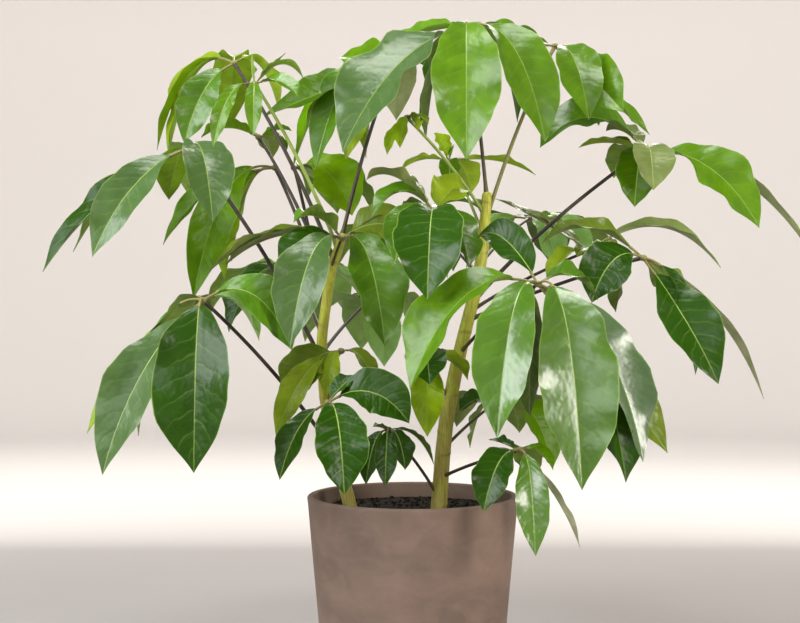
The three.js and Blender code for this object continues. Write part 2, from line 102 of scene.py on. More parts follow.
def finish_named(name):
    """A new material with an empty node tree."""
    made = bpy.data.materials.new(name)
    made.use_nodes = True
    made.node_tree.nodes.clear()
    return made, made.node_tree


def piece_from(name, points, faces, finishes, face_finish=None):
    """A smooth-shaded mesh object, from points in millimetres."""
    mesh = bpy.data.meshes.new(name)
    mesh.from_pydata((np.asarray(points, float) * MM).tolist(), [], faces)
    for finish in finishes:
        mesh.materials.append(finish)
    if face_finish is not None:
        mesh.polygons.foreach_set("material_index", face_finish)
    mesh.polygons.foreach_set("use_smooth", [True] * len(mesh.polygons))
    mesh.update()
    made = bpy.data.objects.new(name, mesh)
    bpy.context.collection.objects.link(made)
    return made


def ring(radius, z, sides):
    """Points of a level ring round the middle."""
    turns = 2 * math.pi * np.arange(sides) / sides
    return [(radius * math.cos(a), radius * math.sin(a), z) for a in turns]


def bands(first, rings, sides, turned=False):
    """Quads between rings of points that follow one another, turned over or not."""
    order = (0, 3, 2, 1) if turned else (0, 1, 2, 3)
    faces = []
    for start in range(first, first + (rings - 1) * sides, sides):
        for k in range(sides):
            a, b = start + k, start + (k + 1) % sides
            quad = a, b, b + sides, a + sides
            faces.append([quad[i] for i in order])
    return faces


# Matt painted board: no gloss, a tone that hardly varies on the floor, and a paler wall.
board, tree = finish_named("matt_painted_board")
FLOOR_TO, WALL_FROM = 0.8, 3.6  # m from the middle
blotches = node(tree, "TexNoise", {"Scale": 3.0, "Detail": 2.0})
place = node(tree, "TexCoord", output="Object")
level_place = node(tree, "Mapping", {0: place, "Scale": (1, 1, 0)})
far = node(tree, "VectorMath", {0: level_place}, output="Value", operation="LENGTH")
wall_share = node(
    tree, "MapRange", {0: far, 1: FLOOR_TO, 2: WALL_FROM}, interpolation_type="SMOOTHSTEP"
)
floor_tone = node(tree, "Mix", {0: blotches, 6: "#8f8b89", 7: "#959190"}, **COLOURS)
tone = node(tree, "Mix", {0: wall_share, 6: floor_tone, 7: "#f5f0ec"}, **COLOURS)
paint = node(tree, "BsdfPrincipled", {"Base Color": tone, "Roughness": 0.9, "IOR": 1.3})
node(tree, "OutputMaterial", {"Surface": paint})

COVE_FLAT, COVE_CURVE, COVE_HEIGHT = 4200, 2200, 5200  # mm: level floor, its rise, the wall
COVE_SIDES, COVE_RISE_STEPS = 96, 24
profile = [(COVE_FLAT * share, 0) for share in (0, 0.02, 0.1, 0.4, 0.8)]
for turn in np.radians(np.linspace(0, 90, COVE_RISE_STEPS + 1)):
    profile.append((COVE_FLAT + COVE_CURVE * math.sin(turn), COVE_CURVE * (1 - math.cos(turn))))
profile.append((COVE_FLAT + COVE_CURVE, COVE_HEIGHT))
points = [(0, 0, 0)]
for radius, z in profile[1:]:
    points += ring(radius, z, COVE_SIDES)
faces = [(0, 1 + k, 1 + (k + 1) % COVE_SIDES) for k in range(COVE_SIDES)]
faces += bands(1, len(profile) - 1, COVE_SIDES, turned=True)
cove = piece_from("studio_cove", points, faces, [board])
cove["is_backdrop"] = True

air = bpy.data.worlds.new("studio_air")
air.use_nodes = True
sky = air.node_tree.nodes["Background"]
sky.inputs["Color"].default_value = linear("#f4f3f2")
sky.inputs["Strength"].default_value = 0.26
bpy.context.scene.world = air

# Soft boxes: place and aim in m, width and height in m, power in W, colour
SOFT_BOXES = {
    "left_window": ((-2.1, -1.2, 1.7), (0.0, 0.0, 0.6), 1.4, 1.9, 100, "#fafcff"),
    "right_window": ((1.9, -1.4, 0.9), (0.05, 0.0, 0.4), 0.6, 1.2, 54, "#fff8f0"),
    "front_window": ((-0.5, -2.35, 1.35), (0.0, 0.0, 0.5), 0.7, 0.9, 11, "#fbfdff"),
    "overhead_box": ((-0.2, -0.5, 2.5), (0.05, 0.0, 0.6), 0.9, 0.9, 40, "#fffefa"),
    "rear_box": ((0.4, 1.9, 2.0), (0.0, 0.0, 0.65), 1.6, 1.0, 50, "#fffaf0"),
    "backdrop_light": ((0.0, 1.3, 1.5), (0.0, 6.4, 1.0), 5.0, 2.6, 76, "#fffcf9"),
}
for name, (place, aim, width, height, power, colour) in SOFT_BOXES.items():
    lamp = bpy.data.lights.new(name, "AREA")
    lamp.shape = "RECTANGLE"
    lamp.size, lamp.size_y = width, height
    lamp.energy = power
    lamp.color = linear(colour)[:3]
    box = bpy.data.objects.new(name, lamp)
    box.location = place
    way = np.subtract(aim, place)
    tilt = math.atan2(way[2], math.hypot(way[0], way[1]))
    box.rotation_euler = (math.pi / 2 + tilt, 0, math.atan2(-way[0], way[1]))
    box.visible_camera = False
    bpy.context.collection.objects.link(box)

# ---- Pot ----
# A round tapered planter, cast in one piece from a clay body and left unglazed, with a thin lip
# eased by hand and four drain holes in its foot. The soil fills it to just below the rim.

RIM_RADIUS, BASE_RADIUS, POT_HEIGHT = 150, 125, 280
POT_WALL, POT_FLOOR = 9, 11
LIP_ROUND, FOOT_ROUND = 3.6, 4
DRAIN_RADIUS, DRAIN_CIRCLE, DRAIN_COUNT, DRAIN_SIDES = 8, 62, 4, 32
POT_SIDES = 144
LIP_STEPS = 6
WALL_RINGS = 40  # up the outside and the inside
WALL_UNEVEN = 0.35  # mm that the hand-finished wall strays


def outer_radius(z):
    return BASE_RADIUS + (RIM_RADIUS - BASE_RADIUS) * z / POT_HEIGHT


def inner_radius(z):
    return outer_radius(z) - POT_WALL


def rounding(centre_r, centre_z, radius, first, last):
    """Points of a profile's round corner, from one angle to another in degrees."""
    turns = np.radians(np.linspace(first, last, LIP_STEPS + 1))
    return [(centre_r + radius * math.cos(a), centre_z + radius * math.sin(a)) for a in turns]


lip_z = POT_HEIGHT - LIP_ROUND
profile = rounding(BASE_RADIUS - FOOT_ROUND, FOOT_ROUND, FOOT_ROUND, -90, 0)
profile += [(outer_radius(z), z) for z in np.linspace(FOOT_ROUND, lip_z, WALL_RINGS)[1:-1]]
profile += rounding(RIM_RADIUS - LIP_ROUND, lip_z, LIP_ROUND, 0, 90)
profile += rounding(RIM_RADIUS - POT_WALL + LIP_ROUND, lip_z, LIP_ROUND, 90, 180)
profile += [(inner_radius(z), z) for z in np.linspace(lip_z, POT_FLOOR, WALL_RINGS)[1:]]

points = []
for radius, z in profile:
    for angle in 2 * math.pi * np.arange(POT_SIDES) / POT_SIDES:
        stray = math.sin(2 * angle + z / 90) + 0.6 * math.sin(5 * angle - z / 37)
        r = radius - WALL_UNEVEN * (1 + 0.6 * stray) * min(1, z / FOOT_ROUND)
        points.append((r * math.cos(angle), r * math.sin(angle), z))
faces = bands(0, len(profile), POT_SIDES)
for i in range(DRAIN_COUNT):
    turn = 2 * math.pi * (i + 0.5) / DRAIN_COUNT
    out_x, out_y = DRAIN_CIRCLE * math.cos(turn), DRAIN_CIRCLE * math.sin(turn)
    faces += bands(len(points), 2, DRAIN_SIDES)
    for z in (0, POT_FLOOR):
        points += [(out_x + x, out_y + y, z) for x, y, _ in ring(DRAIN_RADIUS, z, DRAIN_SIDES)]

# Fired earthenware, unglazed: chalky and matt, clouded where it was wiped, with fine grit.
clay, tree = finish_named("unglazed_fired_earthenware")
CLOUD_MM, WIPE_MM, GRIT_MM = 130, 46, 1.4
place = node(tree, "TexCoord", output="Object")
low_wide = node(tree, "Mapping", {0: place, "Scale": (1, 1, 1.6)})
clouds = node(
    tree, "TexNoise",
    {"Vector": low_wide, "Scale": 1 / (CLOUD_MM * MM), "Detail": 4.0, "Roughness": 0.55},
)
wipes = node(
    tree, "TexNoise",
    {"Vector": low_wide, "Scale": 1 / (WIPE_MM * MM), "Detail": 5.0, "Distortion": 0.8},
)
grit = node(tree, "TexNoise", {"Vector": place, "Scale": 1 / (GRIT_MM * MM), "Detail": 3.0})
cloud_share = node(tree, "MapRange", {0: clouds, 1: 0.34, 2: 0.66})
wipe_share = node(tree, "MapRange", {0: wipes, 1: 0.4, 2: 0.75, 4: 0.4})
grit_share = node(tree, "MapRange", {0: grit, 1: 0.3, 2: 0.7, 4: 0.22})
body = node(tree, "Mix", {0: cloud_share, 6: "#5c4d44", 7: "#746054"}, **COLOURS)
wiped = node(tree, "Mix", {0: wipe_share, 6: body, 7: "#8a7466"}, **COLOURS)
gritty = node(tree, "Mix", {0: grit_share, 6: wiped, 7: "#5f4c40"}, **COLOURS)
dents = node(tree, "Bump", {"Height": wipes, "Distance": 0.5 * MM, "Strength": 0.6})
grain = node(tree, "Bump", {"Height": grit, "Distance": 0.18 * MM, "Normal": dents})
rough = node(tree, "MapRange", {0: wipes, 3: 0.78, 4: 0.92})
chalk = node(
    tree, "BsdfPrincipled", {"Base Color": gritty, "Roughness": rough, "IOR": 1.5, "Normal": grain}
)
node(tree, "OutputMaterial", {"Surface": chalk})

pot = piece_from("clay_pot", points, faces, [clay])
shell = bmesh.new()
shell.from_mesh(pot.data)
for z in (0, POT_FLOOR):
    open_edges = [
        e for e in shell.edges if e.is_boundary and abs(e.verts[0].co.z - z * MM) < 0.5 * MM
    ]
    bmesh.ops.triangle_fill(shell, use_beauty=True, edges=open_edges)
bmesh.ops.recalc_face_normals(shell, faces=shell.faces)
for face in shell.faces:
    face.smooth = abs(face.normal.z) < 0.99
shell.to_mesh(pot.data)
shell.free()
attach(pot, "root")
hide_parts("pot")

# ---- Soil ----
# Dark peat potting soil, pressed in by hand and settled, so its top is crumbly and sinks a
# little at the wall. Loose crumbs of peat and bark lie on it.

SOIL_TOP = 261
SOIL_GAP = 0.3  # to the pot's wall and floor
SOIL_SHOULDER, SOIL_SHOULDER_DEPTH = 8, 6
SOIL_RINGS, SOIL_SIDES = 60, 144
SOIL_ROUGH = 2.2  # mm up and down
CRUMB_COUNT = 620
CRUMB_MM = (1.2, 4.2)
chance = np.random.default_rng(7)


def lumps(x, y, seed):
    """Smooth uneven ground between -1 and 1, from waves that run every way."""
    ways = np.random.default_rng(seed)
    height = 0.0
    for length, share in ((46, 0.34), (23, 0.26), (12, 0.22), (7, 0.18)):
        for _ in range(3):
            turn, shift = ways.uniform(0, 2 * math.pi, 2)
            along = x * math.cos(turn) + y * math.sin(turn)
            height = height + share / 3 * np.sin(2 * math.pi * along / length + shift)
    return height


def soil_height(x, y):
    """The height of the soil's top at a place."""
    edge = inner_radius(SOIL_TOP) - SOIL_GAP
    sunk = np.clip((np.hypot(x, y) - (edge - SOIL_SHOULDER)) / SOIL_SHOULDER, 0, 1)
    rough = SOIL_ROUGH * (lumps(x, y, 3) - 1) * (1 - sunk)
    return SOIL_TOP + rough - SOIL_SHOULDER_DEPTH * sunk**1.5


points = [(0, 0, soil_height(0, 0))]
edge = inner_radius(SOIL_TOP - SOIL_SHOULDER_DEPTH) - SOIL_GAP
for radius in edge * np.linspace(0, 1, SOIL_RINGS + 1)[1:]:
    points += [(x, y, soil_height(x, y)) for x, y, _ in ring(radius, 0, SOIL_SIDES)]
foot_z = POT_FLOOR + SOIL_GAP
points += ring(inner_radius(foot_z) - SOIL_GAP, foot_z, SOIL_SIDES)
faces = [(0, 1 + k, 1 + (k + 1) % SOIL_SIDES) for k in range(SOIL_SIDES)]
faces += bands(1, SOIL_RINGS + 1, SOIL_SIDES, turned=True)
faces.append([1 + SOIL_RINGS * SOIL_SIDES + k for k in reversed(range(SOIL_SIDES))])

# Moist peat: nearly black, matt, with brown fibres and a few damp glints.
peat, tree = finish_named("moist_peat_potting_soil")
FIBRE_MM, CLOD_MM = 2.5, 9
place = node(tree, "TexCoord", output="Object")
fibres = node(tree, "TexNoise", {"Vector": place, "Scale": 1 / (FIBRE_MM * MM), "Detail": 5.0})
clods = node(tree, "TexVoronoi", {"Vector": place, "Scale": 1 / (CLOD_MM * MM)})
fibre_share = node(tree, "MapRange", {0: fibres, 1: 0.42, 2: 0.72})
peat_tone = node(tree, "Mix", {0: fibre_share, 6: "#0f0b08", 7: "#33271c"}, **COLOURS)
clod_bump = node(tree, "Bump", {"Height": clods, "Distance": 1.6 * MM, "Strength": 0.7})
fibre_bump = node(tree, "Bump", {"Height": fibres, "Distance": 1.2 * MM, "Normal": clod_bump})
damp = node(tree, "MapRange", {0: fibres, 3: 0.95, 4: 0.7})
earth = node(
    tree, "BsdfPrincipled",
    {
        "Base Color": peat_tone, "Roughness": damp, "IOR": 1.33, "Specular IOR Level": 0.12,
        "Normal": fibre_bump,
    },
)
node(tree, "OutputMaterial", {"Surface": earth})

soil = piece_from("peat_soil", points, faces, [peat])
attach(soil, "root")
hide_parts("soil")


def ball(subdivisions, radius):
    """Points and faces of a ball of triangles."""
    made = bmesh.new()
    bmesh.ops.create_icosphere(made, subdivisions=subdivisions, radius=radius)
    points = np.array([v.co[:] for v in made.verts])
    faces = [[v.index for v in f.verts] for f in made.faces]
    made.free()
    return points, faces


ball_points, ball_faces = ball(1, 1)
points, faces = [], []
for _ in range(CRUMB_COUNT):
    turn = chance.uniform(0, 2 * math.pi)
    out = (inner_radius(SOIL_TOP) - SOIL_SHOULDER) * math.sqrt(chance.uniform(0, 1))
    x, y = out * math.cos(turn), out * math.sin(turn)
    size = chance.uniform(*CRUMB_MM) * chance.uniform(0.4, 1)
    lump = ball_points * size * chance.uniform(0.5, 1.1, 3)
    lump = lump * chance.uniform(0.8, 1.2, (len(ball_points), 1))
    spin = chance.uniform(0, 2 * math.pi)
    turned = np.c_[
        lump[:, 0] * math.cos(spin) - lump[:, 1] * math.sin(spin),
        lump[:, 0] * math.sin(spin) + lump[:, 1] * math.cos(spin), lump[:, 2],
    ]
    faces += [[len(points) + i for i in face] for face in ball_faces]
    points += (turned + (x, y, soil_height(x, y) + 0.2 * size)).tolist()
crumbs = piece_from("peat_crumbs", points, faces, [peat])
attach(crumbs, "root")

# ---- Stems ----
# Two upright woody stems, cut back once and grown on: corky and tan at the foot, olive-green
# higher up, ringed by the scars of shed leaves. They are rooted in the soil.

STEM_SUNK = 45  # mm below the first point
STEM_SIDES = 28
STEM_STEP = 2.4  # mm between rings
BENDS_EASED = 40  # times over
SCAR_EVERY = (16, 52)  # mm from one leaf scar to the next
SCAR_COUNT = 60  # more than a stem has room for
SCAR_SWELL, SCAR_HALF, SCAR_SLANT = 0.6, 2.2, 3.4  # mm out, mm up or down, mm higher on one side
SCAR_DARK = 0.6  # of the way to the scar's colour

# The stems' centre lines from the soil's surface up: x, y, z and the radius there
STEMS = [
    [
        (-88, 20, 255, 10), (-108, 18, 330, 8.5), (-126, 10, 415, 8),
        (-130, 5, 500, 7.5), (-116, 0, 600, 7), (-100, -5, 645, 6.5),
    ],
    [
        (36, -10, 255, 11.5), (42, -8, 330, 11), (48, -5, 390, 10.5), (60, 0, 450, 10),
        (70, 0, 495, 9.5), (90, 0, 570, 9), (100, 5, 630, 8.5), (106, 8, 705, 7),
    ],
]


def stem_at(line, z):
    """The point on a stem's centre line at a height."""
    heights = [p[2] for p in line]
    return np.array([np.interp(z, heights, [p[i] for p in line]) for i in (0, 1)] + [z])


def tube(path, radii, sides, uneven=None):
    """Points and faces of a closed round tube along a path, with a radius at each point of it."""
    path = np.asarray(path, float)
    along = np.gradient(path, axis=0)
    along /= np.linalg.norm(along, axis=1)[:, None]
    across = np.cross((0, 1, 0) if abs(along[0][1]) < 0.9 else (1, 0, 0), along[0])
    points = []
    for i, (centre, way) in enumerate(zip(path, along)):
        across = across - way * across.dot(way)
        across /= np.linalg.norm(across)
        other = np.cross(way, across)
        for k in range(sides):
            angle = 2 * math.pi * k / sides
            r = radii[i] * (1 if uneven is None else uneven(i, angle))
            points.append(centre + r * (math.cos(angle) * across + math.sin(angle) * other))
    ends = [list(reversed(range(sides))), list(range(len(points) - sides, len(points)))]
    return points, bands(0, len(path), sides) + ends


# Young bark: olive-green skin gone corky and tan towards the foot, streaked brown lengthways,
# dark in the scars. Satin on the green, matt on the cork.
bark, tree = finish_named("streaked_green_bark")
STREAK_MM, PATCH_MM, PORE_MM = 2.2, 26, 1.6
place = node(tree, "TexCoord", output="Object")
height = node(tree, "SeparateXYZ", {0: place}, output="Z")
stretched = node(tree, "Mapping", {0: place, "Scale": (1, 1, 0.09)})
streaks = node(
    tree, "TexNoise",
    {"Vector": stretched, "Scale": 1 / (STREAK_MM * MM), "Detail": 4.0, "Roughness": 0.6},
)
patches = node(tree, "TexNoise", {"Vector": place, "Scale": 1 / (PATCH_MM * MM), "Detail": 4.0})
pores = node(tree, "TexVoronoi", {"Vector": place, "Scale": 1 / (PORE_MM * MM)})
climb = node(tree, "MapRange", {0: height, 1: 270 * MM, 2: 520 * MM})
patchy = node(tree, "MapRange", {0: patches, 1: 0.35, 2: 0.65, 3: -0.45, 4: 0.45})
green_share = node(tree, "Math", {0: climb, 1: patchy}, operation="ADD", use_clamp=True)
skin = node(tree, "Mix", {0: green_share, 6: "#a99e52", 7: "#a8ad2c"}, **COLOURS)
streak_share = node(tree, "MapRange", {0: streaks, 1: 0.42, 2: 0.72, 4: 0.6})
streaked = node(tree, "Mix", {0: streak_share, 6: skin, 7: "#5c4618"}, **COLOURS)
scar = node(tree, "Attribute", attribute_name="scar", output="Fac")
scarred = node(tree, "Mix", {0: scar, 6: streaked, 7: "#4a3a22"}, **COLOURS)
ridges = node(tree, "Bump", {"Height": streaks, "Distance": 0.7 * MM})
pitted = node(
    tree, "Bump", {"Height": pores, "Distance": 0.3 * MM, "Strength": 0.5, "Normal": ridges},
)
satin = node(tree, "MapRange", {0: green_share, 3: 0.85, 4: 0.5})
wood = node(
    tree, "BsdfPrincipled", {"Base Color": scarred, "Roughness": satin, "IOR": 1.45, "Normal": pitted}
)
node(tree, "OutputMaterial", {"Surface": wood})


def mark_points(piece, name, values):
    """Gives each point of a piece a number or a linear colour that its finish reads."""
    values = np.asarray(values, float)
    kind, entry = ("FLOAT_COLOR", "color") if values.ndim > 1 else ("FLOAT", "value")
    layer = piece.data.attributes.new(name, kind, "POINT")
    layer.data.foreach_set(entry, values.ravel())


for number, line in enumerate(STEMS, 1):
    scars_at = np.cumsum(chance.uniform(*SCAR_EVERY, SCAR_COUNT)) + line[0][2] - STEM_SUNK
    tilt = chance.uniform(0, 2 * math.pi, SCAR_COUNT)
    low, high = line[0][2] - STEM_SUNK, line[-1][2]
    heights = np.append(np.arange(low, high, STEM_STEP), high)
    path = [stem_at(line, max(z, line[0][2])) * (1, 1, 0) + (0, 0, z) for z in heights]
    path = np.array(path)
    for _ in range(BENDS_EASED):
        path[1:-1, :2] = 0.5 * path[1:-1, :2] + 0.25 * (path[:-2, :2] + path[2:, :2])
    radii = np.interp(heights, [p[2] for p in line], [p[3] for p in line])
    cap = np.linspace(0.12, 1, 6)
    path = np.vstack([path, path[-1] + np.outer(np.sin(cap * math.pi / 2), (0, 0, radii[-1]))])
    radii = np.append(radii, radii[-1] * np.maximum(np.cos(cap * math.pi / 2), 0.05))

    def scar_share(z, angle):
        """How far a place lies in the ring that a shed leaf left, from 0 to 1."""
        near = np.abs(scars_at + SCAR_SLANT * np.cos(angle - tilt) - z)
        wraps = 0.5 + 0.5 * np.cos(angle - tilt)
        return float((wraps * np.exp(-((near / SCAR_HALF) ** 2))).max())

    def bark_swell(i, angle):
        """What the scars and the ribs of the wood add to the radius, as a factor."""
        z = path[i][2]
        ribs = 0.02 * math.sin(3 * angle + z / 31) + 0.012 * math.sin(7 * angle - z / 17)
        return 1 + ribs + SCAR_SWELL * scar_share(z, angle) / radii[0]

    points, faces = tube(path, radii, STEM_SIDES, bark_swell)
    stem = piece_from(f"woody_stem_{number}", points, faces, [bark])
    shares = [
        SCAR_DARK * scar_share(path[i][2] + SCAR_HALF, 2 * math.pi * k / STEM_SIDES) ** 1.5
        for i in range(len(path)) for k in range(STEM_SIDES)
    ]
    mark_points(stem, "scar", shares)
    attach(stem, "root")
    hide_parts(f"stem_{number}")

# ---- Fronds ----
# Each leaf is a frond: a long thin petiole that clasps the stem, and at its end leaflets that
# spread like the ribs of an umbrella, each on a short stalk. Where they would touch, a leaflet
# swings back or forward and up or down by whole steps until it hangs clear.

STALK_SHARE = 0.14  # the bare stalk's share of a leaflet's length
FOLD = math.radians(23)  # how far each half rises from the midrib
WAVE = 0.11  # height of the margin's waves, as a share of the blade's half width
WAVES = 2  # waves along the margin
WAVE_OFFSET = 1.3  # radians between the waves of the left and the right margin
WAVE_STEP = 1.7  # radians between the waves of one leaflet and the next
CREST_REACH = 0.55  # how far out the arch's control point stands, as a share of the reach
CREST_DROP = 0.1  # what a share of the drop adds to that
TURN_AT_STALK, TURN_RATE = 0.3, 2  # a blade's turn to the front at its stalk, and its rate
ROUNDNESS = 0.7  # of the outline, rounder as it falls
TIP_PULL, TIP_REACH = 0.7, 8  # how much the tip is drawn out, and how close to the tip
CUP = 1.15  # how the halves curve up from the midrib
CURVE_STEPS = 200
PETIOLE_BOW = (0.42, 0.42, 0.55)  # its control point, between the stem and the hub
BEADS_ALONG, BEADS_ACROSS = 26, 11
STEM_BEADS, PETIOLE_BEADS = 60, 40
BLADE_CLEARANCE, STEM_CLEARANCE = 14, 17
PETIOLE_CLEARANCE, OWN_PETIOLE_CLEARANCE = 11, 9
OWN_PETIOLE_FREE = 40  # a frond's own petiole counts from this far below its hub
SWINGS = (0, 20, -20, 40, -40, 60, -60, 80, -80, 100, -100, 120, -120)
LIFTS = (0, 20, -20, 40, -40)

